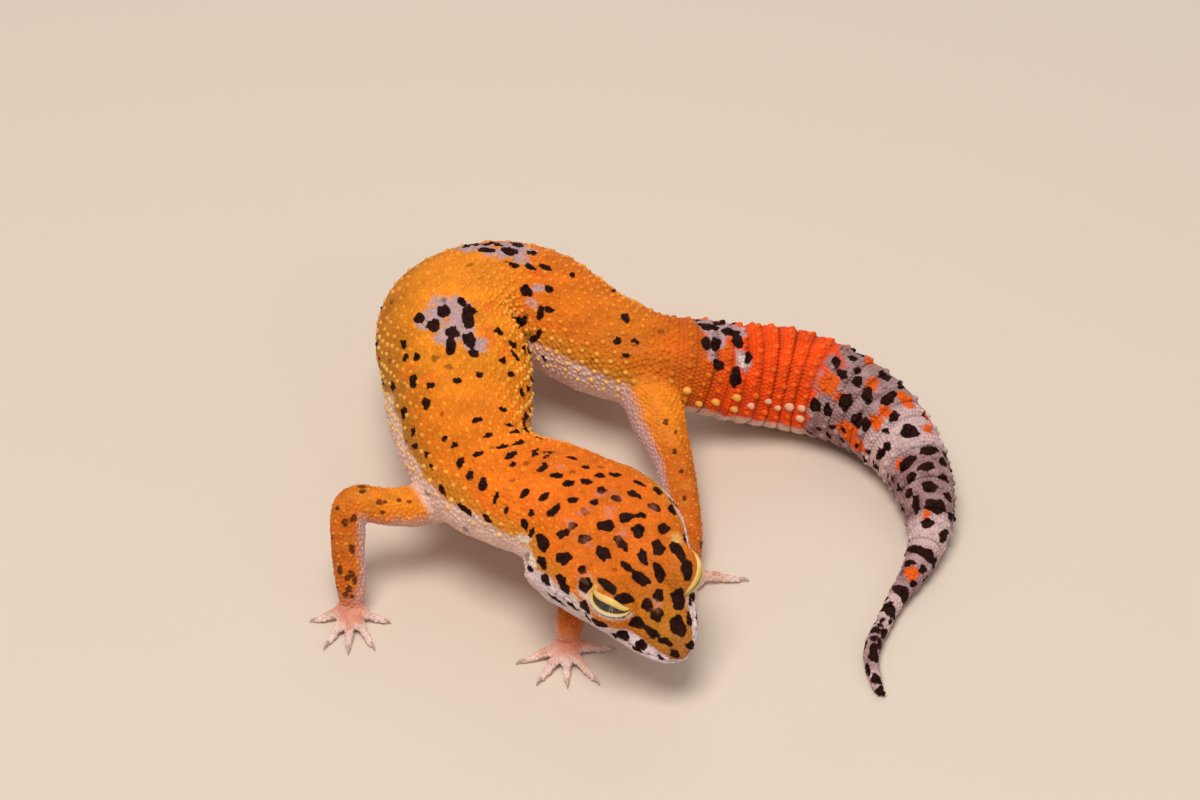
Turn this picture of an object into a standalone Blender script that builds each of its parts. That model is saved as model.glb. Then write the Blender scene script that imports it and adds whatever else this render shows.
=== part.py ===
"""Leopard gecko, life size, standing on four feet with its tail laid along the floor.

Metres, +Z up, the floor at z = 0, the origin on the floor under the middle of the animal.
Lengths below are in millimetres and become metres when a mesh is made. The body is one skin
lofted along a bent spine and parted by thin cuts into head, neck, trunk and tail. Each limb is
the union of a tube, a palm or sole and five clawed toes, parted at its two lower joints.
"""

import math

import bmesh
import bpy
import numpy as np
from mathutils import Vector

MM = 0.001
GAP = 0.3                # clearance between neighbouring pieces
FLOOR_TRIM = 0.12        # how far the soles are pared off to make small flats
CENTRE = (5.261, -17.405)    # the point of the drawing, seen from above, that the origin stands on

# ------------------------------------------------------------------------------- the body
TOTAL_LENGTH = 205.0
SNOUT_TIP = (11.4, -65.9)   # seen from above
BEND_SHIFT = 14.0           # mm the trunk's flesh moves outwards in a bend, times the radius
BEND_SHIFT_FROM = (46.0, 60.0)

# Distance from the snout tip, and the way the spine then runs, seen from above, in degrees
# from +X towards +Y: along the head, the nape, the trunk and its tight bend, the tail.
HEADING = (
    (0, 123), (20, 123), (27, 139), (33, 154), (38, 144), (44, 122), (52, 101), (61, 95), (69, 95),
    (73, 92), (77, 79), (82, 50), (87, 18), (92, -18), (96, -36), (101, -39), (109, -22),
    (118, 3), (128, 3), (136, -15), (144, -35), (153, -57), (162, -76), (170, -93),
    (177, -109), (184, -116), (189, -112), (194, -107), (198, -94), (201, -85), (205, -77),
)

# Distance from the snout tip, and the height of the spine's line above the floor.
LINE_HEIGHT = (
    (0, 8.5), (26, 15.6), (34, 16.6), (46, 15.6), (62, 14.6), (91, 14.2), (105, 14.0),
    (117, 11.9), (127, 9.3), (135, 7.9), (143, 7.1), (152, 6.0), (161, 4.8), (169, 3.7),
    (176, 2.7), (183, 1.85), (190, 1.4), (197, 1.25), (205, 0.65),
)

# Distance from the snout tip, then half the width, the height above the line and the depth
# below it.
GIRTH = (
    (20, 11.2, 7.2, 5.0), (31, 9.8, 7.0, 6.4), (36, 9.2, 6.8, 7.1), (43, 9.3, 6.9, 7.8),
    (51, 9.7, 7.6, 8.2), (60, 10.8, 8.3, 8.4), (70, 11.3, 8.8, 8.6), (79, 11.4, 8.9, 8.6),
    (85, 11.2, 7.9, 8.6), (95, 9.4, 6.5, 8.4), (103, 8.4, 6.6, 8.0), (110, 7.8, 6.9, 7.2),
    (116, 7.0, 6.9, 6.5), (125, 7.3, 7.4, 7.0), (134, 7.6, 7.6, 7.8), (143, 6.9, 6.9, 7.2),
    (152, 6.0, 6.0, 6.1), (161, 4.8, 4.8, 4.9), (169, 3.7, 3.7, 3.8), (176, 2.65, 2.7, 2.8),
    (183, 1.75, 1.8, 1.9), (190, 1.3, 1.35, 1.45), (196, 1.3, 1.3, 1.4),
    (200, 1.1, 1.1, 1.25), (203, 0.95, 0.95, 1.05), (204.7, 0.6, 0.6, 0.7),
)

# The head's section at distances from the snout tip. Across and up from the line: the top,
# the crown, the brow, the temple, the lip, the jaw and the throat.
HEAD_GUIDES = (
    (0.2, 0, 0.7, 0.6, 0.6, 1.0, 0.4, 1.2, 0.1, 1.2, -0.2, 0.7, -0.45, 0, -0.5),
    (1.0, 0, 1.7, 1.1, 1.6, 1.9, 1.25, 2.4, 0.6, 2.5, -0.1, 1.6, -1.0, 0, -1.2),
    (3.0, 0, 2.9, 1.7, 2.8, 3.0, 2.3, 3.95, 1.2, 4.2, -0.1, 2.9, -1.6, 0, -2.0),
    (6.0, 0, 4.0, 2.2, 3.9, 4.1, 3.3, 5.4, 1.9, 5.8, 0.0, 4.1, -2.3, 0, -2.8),
    (9.0, 0, 5.1, 3.0, 5.3, 5.8, 4.8, 6.9, 2.9, 7.0, 0.2, 5.1, -2.9, 0, -3.5),
    (12.3, 0, 6.0, 3.9, 6.7, 7.9, 6.1, 8.8, 3.7, 8.6, 0.3, 6.4, -3.4, 0, -4.1),
    (15.5, 0, 6.8, 4.4, 7.1, 8.7, 6.1, 10.0, 3.6, 10.1, 0.2, 7.7, -3.8, 0, -4.6),
    (19.0, 0, 7.2, 4.8, 7.2, 9.0, 5.9, 11.1, 3.0, 11.4, -0.2, 8.9, -4.1, 0, -4.9),
    (23.0, 0, 7.3, 4.8, 7.1, 9.1, 5.4, 11.4, 2.5, 11.9, -0.6, 9.4, -4.3, 0, -5.1),
    (27.0, 0, 7.2, 4.5, 6.8, 8.1, 5.1, 10.4, 2.4, 10.9, -0.6, 8.6, -4.4, 0, -5.3),
    (32.0, 0, 6.9, 3.8, 6.4, 6.7, 4.9, 8.6, 2.4, 9.2, -0.6, 7.2, -4.5, 0, -5.5),
)
HEAD_TO_NECK = (25.0, 33.0)   # where the head's sections give way to the body's ovals
HEAD_ROLL = 8.0               # degrees about the line, its left side the higher
ROLL_FADES = (27.0, 47.0)
OVAL_POWER = 2.15             # 2 is an ellipse, and more is squarer

# Each length of the body: its name, its first and last distance, its rings and its sides.
BODY_LENGTHS = (
    ("head", 0.0, 31.0, 22, 28),
    ("neck", 31.0, 44.0, 6, 22),
    ("trunk_front", 44.0, 67.0, 8, 22),
    ("trunk_middle", 67.0, 96.0, 12, 22),
    ("trunk_rear", 96.0, 113.0, 6, 22),
    ("tail_base", 113.0, 138.0, 8, 20),
    ("tail_middle", 138.0, 163.0, 9, 18),
    ("tail_end", 163.0, 185.0, 9, 14),
    ("tail_tip", 185.0, TOTAL_LENGTH, 9, 12),
)

# ---------------------------------------------------------------------------- the features
EYE_AT = (10.5, 5.2, 3.85)    # along the head, across and up
EYE_RADIUS = 3.3
EAR_AT = (26.0, 10.6, 1.0)
EAR_SIZE = (0.8, 1.6, 1.6)   # half sizes: along, across and up
NOSTRIL_AT = (1.9, 3.0, 1.15)
NOSTRIL_RADIUS = 0.4

# -------------------------------------------------------------------------------- the limbs
# Each limb runs from inside the body to its wrist or ankle: points on its middle line with
# its radius there. `joint` is the elbow's or knee's place in that list. The palm or sole is
# an egg on the floor: its place seen from above, half length, half width and heading. From
# its middle the toes reach out, each with its own direction and reach.
LIMBS = {
    "front_right": dict(
        names=("upper_arm_right", "forearm_right", "hand_right"),
        line=((-19.5, -34.5, 12.4, 3.9), (-24.5, -37.6, 12.4, 3.4), (-29.8, -39.5, 13.2, 2.75),
              (-35.2, -40.2, 14.3, 2.65), (-35.9, -43.3, 9.5, 2.5), (-35.6, -45.7, 5.8, 2.3),
              (-35.5, -46.8, 3.4, 2.1), (-35.5, -47.4, 1.6, 1.6)),
        joint=3, palm=(-35.6, -48.3), palm_size=(2.3, 2.5), heading=-90,
        toes=((-168, 6.0), (-117, 7.8), (-90, 8.0), (-62, 8.0), (-15, 6.0)),
    ),
    "front_left": dict(
        names=("upper_arm_left", "forearm_left", "hand_left"),
        line=((-15, -33.5, 14.5, 3.1), (-9.6, -31.2, 11.5, 2.9), (-5.4, -33.6, 8.0, 2.5),
              (-1.8, -38.6, 5.6, 2.45), (-2.6, -44.6, 5.4, 2.4), (-3.7, -50.4, 5.0, 2.3),
              (-4.4, -53.8, 3.8, 2.1), (-4.7, -55.2, 2.0, 1.7)),
        joint=3, palm=(-4.8, -55.8), palm_size=(2.3, 2.4), heading=-90,
        toes=((-162, 7.4), (-122, 7.8), (-88, 7.2), (-54, 8.2), (5, 7.2)),
    ),
    "hind_left": dict(
        names=("thigh_left", "shin_left", "foot_left"),
        line=((4.6, -4.5, 13.0, 4.6), (7.4, -11.0, 11.2, 4.8), (9.0, -17.6, 9.4, 3.9),
              (10.6, -22.6, 8.0, 3.0), (11.6, -28.6, 6.9, 2.75), (12.3, -34.6, 5.3, 2.55),
              (12.6, -38.4, 3.4, 2.2), (12.8, -39.8, 2.0, 1.8)),
        joint=3, palm=(13.0, -40.9), palm_size=(2.6, 2.4), heading=-100,
        toes=((-170, 6.2), (-138, 7.6), (-110, 8.6), (-86, 8.8), (0, 8.6)),
    ),
    "hind_right": dict(
        names=("thigh_right", "shin_right", "foot_right"),
        line=((4.4, -3, 13.0, 4.4), (3.6, 4.0, 11.0, 4.6), (0.0, 8.6, 9.2, 3.7),
              (-4.6, 11.6, 8.0, 3.0), (-5.6, 15.8, 6.2, 2.7), (-6.2, 19.6, 4.2, 2.4),
              (-6.6, 21.4, 2.8, 2.1), (-7.0, 22.2, 1.8, 1.7)),
        joint=3, palm=(-7.6, 23.2), palm_size=(2.6, 2.4), heading=125,
        toes=((60, 6.4), (88, 8.4), (118, 8.6), (148, 7.8), (186, 6.2)),
    ),
}
LIMB_SIDES = 12
LIMB_RINGS = 15
PALM_HEIGHT = 1.25
TOE_SIDES = 6
# Share of a toe's reach, its height above the floor, and its radius: root, knuckle and claw.
TOE_LINE = ((0.12, 1.2, 0.9), (0.34, 1.35, 0.85), (0.56, 1.0, 0.68), (0.76, 0.62, 0.64),
            (0.86, 0.72, 0.42), (0.94, 0.5, 0.3), (1.0, 0.28, 0.25))
WRIST_CUT = 3.6               # height of the cut between forearm or shin and foot
TRIM_RANGE = (2.0, 125.0)     # the stretch of body that the limbs are trimmed clear of

# ---------------------------------------------------------------------------- the materials
# colour, roughness
COLOURS = {
    "orange": ((0.72, 0.26, 0.02), 0.5),
    "head_orange": ((0.66, 0.22, 0.02), 0.45),
    "tail_orange": ((0.70, 0.10, 0.01), 0.5),
    "tail_pale": ((0.55, 0.42, 0.46), 0.5),
    "limb_orange": ((0.70, 0.20, 0.03), 0.5),
    "pink": ((0.66, 0.36, 0.32), 0.5),
    "eye": ((0.05, 0.03, 0.02), 0.1),
}


# =============================================================================== curves
def eased(rows, at):
    """The table's columns at the distances `at`: a cubic between neighbouring rows, whose
    slope at a row is the harmonic mean of the slopes beside it, so it never overshoots."""
    rows = np.array(rows, float)
    x, y = rows[:, 0], rows[:, 1:]
    step = np.diff(x)[:, None]
    slope = np.diff(y, axis=0) / step
    product = slope[:-1] * slope[1:]
    total = np.where(product > 0, slope[:-1] + slope[1:], 1)
    inner = np.where(product > 0, 2 * product / total, 0)
    at_rows = np.vstack([slope[:1], inner, slope[-1:]])
    at = np.clip(np.asarray(at, float), x[0], x[-1])
    i = np.clip(np.searchsorted(x, at, side="right") - 1, 0, len(x) - 2)
    h = step[i]
    u = (at - x[i])[..., None] / h
    return (
        (1 + 2 * u) * (1 - u) ** 2 * y[i] + u * (1 - u) ** 2 * h * at_rows[i]
        + u**2 * (3 - 2 * u) * y[i + 1] - u**2 * (1 - u) * h * at_rows[i + 1]
    )


def fade(x, start, end):
    """0 before start, 1 after end, with an S-shaped rise between them."""
    u = np.clip((x - start) / (end - start), 0, 1)
    return u * u * (3 - 2 * u)


def spine_line(step=0.25):
    """Distances along the spine, its points, and how fast it turns to its left, in 1/mm.

    The line is a running sum of unit steps: their direction is the table of headings, and
    their climb is the slope of the table of heights."""
    s = np.arange(0, TOTAL_LENGTH + step / 2, step)
    heading = np.radians(eased(HEADING, s)[:, 0])
    height = eased(LINE_HEIGHT, s)[:, 0]
    level = np.sqrt(1 - np.gradient(height, s) ** 2)

    def run(component):
        speed = component * level
        return np.concatenate([[0], np.cumsum((speed[1:] + speed[:-1]) / 2) * step])

    x = SNOUT_TIP[0] - CENTRE[0] + run(np.cos(heading))
    y = SNOUT_TIP[1] - CENTRE[1] + run(np.sin(heading))
    turn = np.gradient(heading, s)
    near = np.exp(-((np.arange(-8, 8.1, step) / 3) ** 2))
    turn = np.convolve(np.pad(turn, len(near) // 2, mode="edge"), near / near.sum(), "valid")
    return s, np.stack([x, y, height], 1), turn


SPINE_AT, SPINE_POINTS, SPINE_TURN = spine_line()


def read_along(values, s):
    """Values kept at SPINE_AT, read at the distances s."""
    if values.ndim == 1:
        return np.interp(s, SPINE_AT, values)
    return np.stack([np.interp(s, SPINE_AT, column) for column in values.T], -1)


def spine_frames(s):
    """Points of the line and unit vectors to the animal's left and its up, at distances s."""
    slope = np.gradient(SPINE_POINTS, SPINE_AT, axis=0)
    ahead = -read_along(slope, s)
    ahead /= np.linalg.norm(ahead, axis=1, keepdims=True)
    left = np.cross([0, 0, 1], ahead)
    left /= np.linalg.norm(left, axis=1, keepdims=True)
    up = np.cross(ahead, left)
    roll = np.radians(HEAD_ROLL) * (1 - fade(s, *ROLL_FADES))[:, None]
    left, up = left * np.cos(roll) + up * np.sin(roll), up * np.cos(roll) - left * np.sin(roll)
    return read_along(SPINE_POINTS, s), left, up


def head_sections(s, t):
    """Across and up from the line: for each s, a closed cubic B-spline through the guides.

    t runs once round from the left side over the top. The guides stand at equal steps of t,
    and the spline's own control points are those that make it pass through them."""
    guides = eased(HEAD_GUIDES, s).reshape(len(s), 7, 2)
    mirrored = guides[:, 5:0:-1] * [-1, 1]
    ring = np.concatenate([guides, mirrored], 1)
    count = ring.shape[1]
    one = np.eye(count)
    through = (np.roll(one, 1, 1) + 4 * one + np.roll(one, -1, 1)) / 6
    control = np.einsum("ij,njk->nik", np.linalg.inv(through), ring)
    place = (math.pi / 2 - t) / (2 * math.pi) * count
    i = np.floor(place).astype(int)
    u = (place - i)[None, :, None]
    weights = ((1 - u) ** 3, 3 * u**3 - 6 * u**2 + 4, -3 * u**3 + 3 * u**2 + 3 * u + 1, u**3)
    parts = [w / 6 * control[:, (i + k - 1) % count] for k, w in enumerate(weights)]
    return np.moveaxis(sum(parts), -1, 0)


def oval_sections(s, t):
    """Across and up from the line: superellipses with their own height and depth."""
    width, above, below = np.moveaxis(eased(GIRTH, s), -1, 0)[..., None]
    across, lift = np.cos(t)[None], np.sin(t)[None]
    x = width * np.sign(across) * np.abs(across) ** (2 / OVAL_POWER)
    z = np.sign(lift) * np.abs(lift) ** (2 / OVAL_POWER)
    return x, np.where(z > 0, z * above, z * below)


def body_points(s, t, grow=0.0):
    """The skin's points, a row of them for each distance s, pushed out by `grow`.

    The inner side of a bend is squeezed to stay inside the bend's radius, and the bottom is
    pressed flat where it meets the floor."""
    blend = fade(s, *HEAD_TO_NECK)[:, None]
    head_x, head_z = head_sections(s, t)
    body_x, body_z = oval_sections(s, t)
    x = head_x * (1 - blend) + body_x * blend
    z = head_z * (1 - blend) + body_z * blend
    # seen from above, a line that turns left as it runs tailwards closes up on the animal's
    # own right, because the animal looks the other way
    turn = read_along(SPINE_TURN, s)[:, None]
    x = x + BEND_SHIFT * turn * fade(s, *BEND_SHIFT_FROM)[:, None]
    closing = np.maximum(-turn * np.sign(x), 0)
    x = x / (1 + (np.abs(x) * closing / 0.95) ** 6) ** (1 / 6)
    x = x + grow * np.cos(t)
    z = z + grow * np.sin(t)
    centre, left, up = spine_frames(s)
    points = centre[:, None] + x[..., None] * left[:, None] + z[..., None] * up[:, None]
    points[..., 2] = np.maximum(points[..., 2], 0)
    return points


def head_place(along, across, up):
    """A point given along the head from the snout tip, to its left and up from the line."""
    centre, left, above = spine_frames(np.array([float(along)]))
    return centre[0] + across * left[0] + up * above[0]


# =============================================================================== meshes
def material(name, colour, roughness):
    """A plain finish."""
    made = bpy.data.materials.new(name)
    made.use_nodes = True
    shader = made.node_tree.nodes["Principled BSDF"]
    shader.inputs["Base Color"].default_value = (*colour, 1)
    shader.inputs["Roughness"].default_value = roughness
    return made


def closed_tube(rings, start, end):
    """A mesh of rings of points in mm, closed at both ends by a fan about start and end."""
    count, sides = rings.shape[:2]
    points = np.concatenate([rings.reshape(-1, 3), [start, end]]) * MM
    mesh = bmesh.new()
    verts = [mesh.verts.new(p) for p in points]
    for i in range(count):
        for j in range(sides):
            a, b = i * sides + j, i * sides + (j + 1) % sides
            if i + 1 < count:
                mesh.faces.new([verts[k] for k in (a, b, b + sides, a + sides)])
            if i == 0:
                mesh.faces.new([verts[k] for k in (b, a, count * sides)])
            if i == count - 1:
                mesh.faces.new([verts[k] for k in (a, b, count * sides + 1)])
    bmesh.ops.recalc_face_normals(mesh, faces=mesh.faces)
    return mesh


def add_object(name, mesh, finish=None):
    """A new object from a bmesh, shaded smooth."""
    data = bpy.data.meshes.new(name)
    mesh.to_mesh(data)
    mesh.free()
    data.shade_smooth()
    made = bpy.data.objects.new(name, data)
    bpy.context.scene.collection.objects.link(made)
    if finish:
        data.materials.append(FINISHES[finish])
    return made


def add_ball(name, centre, radii, segments, rings, turn=None, finish=None):
    """A sphere or egg about a point in mm; `turn` holds its three axes as columns."""
    mesh = bmesh.new()
    bmesh.ops.create_uvsphere(mesh, u_segments=segments, v_segments=rings, radius=1)
    axes = np.eye(3) if turn is None else np.array(turn).T
    for vert in mesh.verts:
        vert.co = Vector((axes @ (np.array(vert.co) * radii) + centre) * MM)
    return add_object(name, mesh, finish)


def combine(target, tools, operation):
    """Joins the tools to the target, or cuts them from it, and takes the tools away."""
    for tool in tools:
        change = target.modifiers.new(operation.lower(), "BOOLEAN")
        change.operation = operation
        change.object = tool
    bpy.context.view_layer.update()
    seen = target.evaluated_get(bpy.context.evaluated_depsgraph_get())
    result = bpy.data.meshes.new_from_object(seen)
    target.modifiers.clear()
    target.data = result
    for tool in tools:
        bpy.data.objects.remove(tool)


def keep_side(target, point, away):
    """Cuts the target by a plane through a point in mm, drops what lies on the side that
    `away` points to, and closes the cut."""
    mesh = bmesh.new()
    mesh.from_mesh(target.data)
    everything = mesh.verts[:] + mesh.edges[:] + mesh.faces[:]
    cut = bmesh.ops.bisect_plane(
        mesh, geom=everything, plane_co=Vector(point) * MM, plane_no=Vector(away),
        clear_outer=True, dist=1e-7,
    )
    rim = [item for item in cut["geom_cut"] if isinstance(item, bmesh.types.BMEdge)]
    bmesh.ops.triangle_fill(mesh, edges=rim, use_beauty=True)
    bmesh.ops.recalc_face_normals(mesh, faces=mesh.faces)
    mesh.to_mesh(target.data)
    mesh.free()


# =============================================================================== the animal
def build_body():
    """The head, neck, trunk and tail, each a closed length of the skin."""
    for name, first, last, rings, sides in BODY_LENGTHS:
        tail = name.startswith("tail")
        finish = "head_orange" if name == "head" else "orange"
        if tail:
            finish = "tail_orange" if name == "tail_base" else "tail_pale"
        start = first + (GAP / 2 if first else 0.2)
        end = last - (GAP / 2 if last < TOTAL_LENGTH else 0.3)
        share = np.linspace(0, 1, rings)
        if name == "head":
            share = share**1.25
        if name == "tail_tip":
            share = 1 - (1 - share) ** 1.25
        s = start + (end - start) * share
        t = np.arange(sides) / sides * 2 * math.pi
        points = body_points(s, t)
        closing = read_along(SPINE_POINTS, np.array([first and s[0], s[-1]]))
        if last == TOTAL_LENGTH:
            closing[1] = SPINE_POINTS[-1]
        add_object(name, closed_tube(points, *closing), finish)


def shape_head():
    """Cuts the eye sockets, ear openings and nostrils, and sets the eyes in their sockets."""
    head = bpy.data.objects["head"]
    _, left, up = spine_frames(np.array([EYE_AT[0]]))
    axes = (np.cross(left[0], up[0]), left[0], up[0])
    cutters = []
    for side, word in ((1, "left"), (-1, "right")):
        eye = head_place(EYE_AT[0], side * EYE_AT[1], EYE_AT[2])
        add_ball("eye_" + word, eye, (EYE_RADIUS,) * 3, 14, 9, finish="eye")
        socket = (EYE_RADIUS + GAP,) * 3
        ear = head_place(EAR_AT[0], side * EAR_AT[1], EAR_AT[2])
        nostril = head_place(NOSTRIL_AT[0], side * NOSTRIL_AT[1], NOSTRIL_AT[2])
        cutters += [
            add_ball("socket", eye, socket, 14, 9),
            add_ball("ear", ear, EAR_SIZE, 12, 8, axes),
            add_ball("nostril", nostril, (NOSTRIL_RADIUS,) * 3, 8, 6),
        ]
    combine(head, cutters, "DIFFERENCE")


def smooth_line(points, count):
    """A Catmull-Rom curve through the rows of `points`, read at `count` even steps."""
    points = np.array(points, float)
    padded = np.vstack([2 * points[0] - points[1], points, 2 * points[-1] - points[-2]])
    place = np.linspace(0, len(points) - 1, count)
    i = np.minimum(place.astype(int), len(points) - 2)
    u = (place - i)[:, None]
    a, b, c, d = (padded[i + k] for k in range(4))
    return (
        2 * b + (c - a) * u + (2 * a - 5 * b + 4 * c - d) * u**2
        + (3 * b - a - 3 * c + d) * u**3
    ) / 2


def tube_rings(line, sides):
    """Rings about a line of points with radii, each turned as little as can be from the last."""
    points, radii = line[:, :3], line[:, 3]
    ahead = np.gradient(points, axis=0)
    ahead /= np.linalg.norm(ahead, axis=1, keepdims=True)
    side = np.cross(ahead[0], [0.31, 0.17, 0.94])
    angle = np.arange(sides) / sides * 2 * math.pi
    rings = []
    for point, way, radius in zip(points, ahead, radii):
        side = side - way * (side @ way)
        side /= np.linalg.norm(side)
        other = np.cross(way, side)
        round_it = np.cos(angle)[:, None] * side + np.sin(angle)[:, None] * other
        rings.append(point + radius * round_it)
    return np.array(rings)


def placed(points):
    """Points of the drawing moved so that the origin stands under the animal's middle."""
    points = np.array(points, float)
    points[..., 0] -= CENTRE[0]
    points[..., 1] -= CENTRE[1]
    return points


def build_toe(middle, direction, reach):
    """A toe from inside the palm to the tip of its claw."""
    way = np.radians(direction)
    forward = np.array([math.cos(way), math.sin(way)])
    share, height, radius = np.array(TOE_LINE).T
    along = middle + reach * share[:, None] * forward
    line = smooth_line(np.column_stack([along, height, radius]), 7)
    rings = tube_rings(line, TOE_SIDES)
    return add_object("toe", closed_tube(rings, line[0, :3], line[-1, :3]))


def build_limb(limb, names, line, joint, palm, palm_size, heading, toes):
    """One limb, joined, trimmed clear of the body, pared flat below and parted."""
    line = placed(line)
    middle = placed(palm)
    curve = smooth_line(line, LIMB_RINGS)
    rings = tube_rings(curve, LIMB_SIDES)
    whole = add_object(limb, closed_tube(rings, curve[0, :3], curve[-1, :3]), "limb_orange")
    turn = np.radians(heading)
    axes = ((math.cos(turn), math.sin(turn), 0), (-math.sin(turn), math.cos(turn), 0), (0, 0, 1))
    centre = np.array([*middle, PALM_HEIGHT - FLOOR_TRIM])
    pieces = [add_ball("palm", centre, (*palm_size, PALM_HEIGHT), 10, 6, axes)]
    pieces += [build_toe(middle, *toe) for toe in toes]
    combine(whole, pieces, "UNION")

    around = np.arange(28) / 28 * 2 * math.pi
    s = np.linspace(*TRIM_RANGE, 70)
    near = body_points(s, around, GAP)
    ends = read_along(SPINE_POINTS, s[[0, -1]])
    combine(whole, [add_object("near", closed_tube(near, *ends))], "DIFFERENCE")
    keep_side(whole, (0, 0, 0), (0, 0, -1))

    elbow = line[joint, :3]
    along = line[joint + 1, :3] - line[joint - 1, :3]
    along /= np.linalg.norm(along)
    step = along * GAP / 2
    wrist = np.array([0, 0, WRIST_CUT])
    lift = np.array([0, 0, GAP / 2])
    cuts = (
        ((elbow - step, along),),
        ((elbow + step, -along), (wrist + lift, (0, 0, -1))),
        ((elbow + step, -along), (wrist - lift, (0, 0, 1))),
    )
    for name, planes in zip(names, cuts):
        piece = whole.copy()
        piece.data = whole.data.copy()
        piece.name = name
        bpy.context.scene.collection.objects.link(piece)
        for plane in planes:
            keep_side(piece, *plane)
    piece.data.materials[0] = FINISHES["pink"]
    bpy.data.objects.remove(whole)


for thing in list(bpy.data.objects):
    bpy.data.objects.remove(thing)
FINISHES = {name: material(name, *look) for name, look in COLOURS.items()}
build_body()
shape_head()
for limb_name, parts in LIMBS.items():
    build_limb(limb_name, **parts)
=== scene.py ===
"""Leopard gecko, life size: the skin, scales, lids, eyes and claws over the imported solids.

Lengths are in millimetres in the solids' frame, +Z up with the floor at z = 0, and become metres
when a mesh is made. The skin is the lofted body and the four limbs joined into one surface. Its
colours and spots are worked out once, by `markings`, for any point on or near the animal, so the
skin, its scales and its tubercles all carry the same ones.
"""

import math

import bpy
import mathutils
import numpy as np
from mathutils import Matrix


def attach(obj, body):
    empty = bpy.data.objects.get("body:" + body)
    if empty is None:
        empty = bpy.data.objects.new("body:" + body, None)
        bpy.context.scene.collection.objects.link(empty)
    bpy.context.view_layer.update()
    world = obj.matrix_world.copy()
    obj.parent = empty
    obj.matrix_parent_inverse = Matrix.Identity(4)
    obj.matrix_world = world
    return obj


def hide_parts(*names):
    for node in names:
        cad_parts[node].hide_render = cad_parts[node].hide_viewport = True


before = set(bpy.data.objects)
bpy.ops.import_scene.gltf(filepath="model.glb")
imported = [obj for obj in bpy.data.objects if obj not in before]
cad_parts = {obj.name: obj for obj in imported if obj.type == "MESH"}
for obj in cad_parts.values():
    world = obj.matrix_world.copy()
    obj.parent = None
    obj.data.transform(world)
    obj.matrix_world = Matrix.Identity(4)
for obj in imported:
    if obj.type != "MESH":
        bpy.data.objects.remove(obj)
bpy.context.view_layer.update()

MM = 0.001
CENTRE = np.array([5.261, -17.405])   # the drawing's point that the origin stands on, from above
SKIN_INSET = 0.18                     # how far the skin lies inside the solids, under its scales

# ------------------------------------------------------------------------------- the body
TOTAL_LENGTH = 205.0
SNOUT_TIP = (11.4, -65.9)
BEND_SHIFT = 14.0           # mm the trunk's flesh moves outwards in a bend, times the radius
BEND_SHIFT_FROM = (46.0, 60.0)

# Distance from the snout tip, and the way the spine then runs, seen from above, in degrees
# from +X towards +Y: along the head, the nape, the trunk and its tight bend, the tail.
HEADING = (
    (0, 123), (20, 123), (27, 139), (33, 154), (38, 144), (44, 122), (52, 101), (61, 95), (69, 95),
    (73, 92), (77, 79), (82, 50), (87, 18), (92, -18), (96, -36), (101, -39), (109, -22),
    (118, 3), (128, 3), (136, -15), (144, -35), (153, -57), (162, -76), (170, -93),
    (177, -109), (184, -116), (189, -112), (194, -107), (198, -94), (201, -85), (205, -77),
)

# Distance from the snout tip, and the height of the spine's line above the floor.
LINE_HEIGHT = (
    (0, 8.5), (26, 15.6), (34, 16.6), (46, 15.6), (62, 14.6), (91, 14.2), (105, 14.0),
    (117, 11.9), (127, 9.3), (135, 7.9), (143, 7.1), (152, 6.0), (161, 4.8), (169, 3.7),
    (176, 2.7), (183, 1.85), (190, 1.4), (197, 1.25), (205, 0.65),
)

# Distance from the snout tip, then half the width, the height above the line and the depth
# below it.
GIRTH = (
    (20, 11.2, 7.2, 5.0), (31, 9.8, 7.0, 6.4), (36, 9.2, 6.8, 7.1), (43, 9.3, 6.9, 7.8),
    (51, 9.7, 7.6, 8.2), (60, 10.8, 8.3, 8.4), (70, 11.3, 8.8, 8.6), (79, 11.4, 8.9, 8.6),
    (85, 11.2, 7.9, 8.6), (95, 9.4, 6.5, 8.4), (103, 8.4, 6.6, 8.0), (110, 7.8, 6.9, 7.2),
    (116, 7.0, 6.9, 6.5), (125, 7.3, 7.4, 7.0), (134, 7.6, 7.6, 7.8), (143, 6.9, 6.9, 7.2),
    (152, 6.0, 6.0, 6.1), (161, 4.8, 4.8, 4.9), (169, 3.7, 3.7, 3.8), (176, 2.65, 2.7, 2.8),
    (183, 1.75, 1.8, 1.9), (190, 1.3, 1.35, 1.45), (196, 1.3, 1.3, 1.4),
    (200, 1.1, 1.1, 1.25), (203, 0.95, 0.95, 1.05), (204.7, 0.6, 0.6, 0.7),
)

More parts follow.
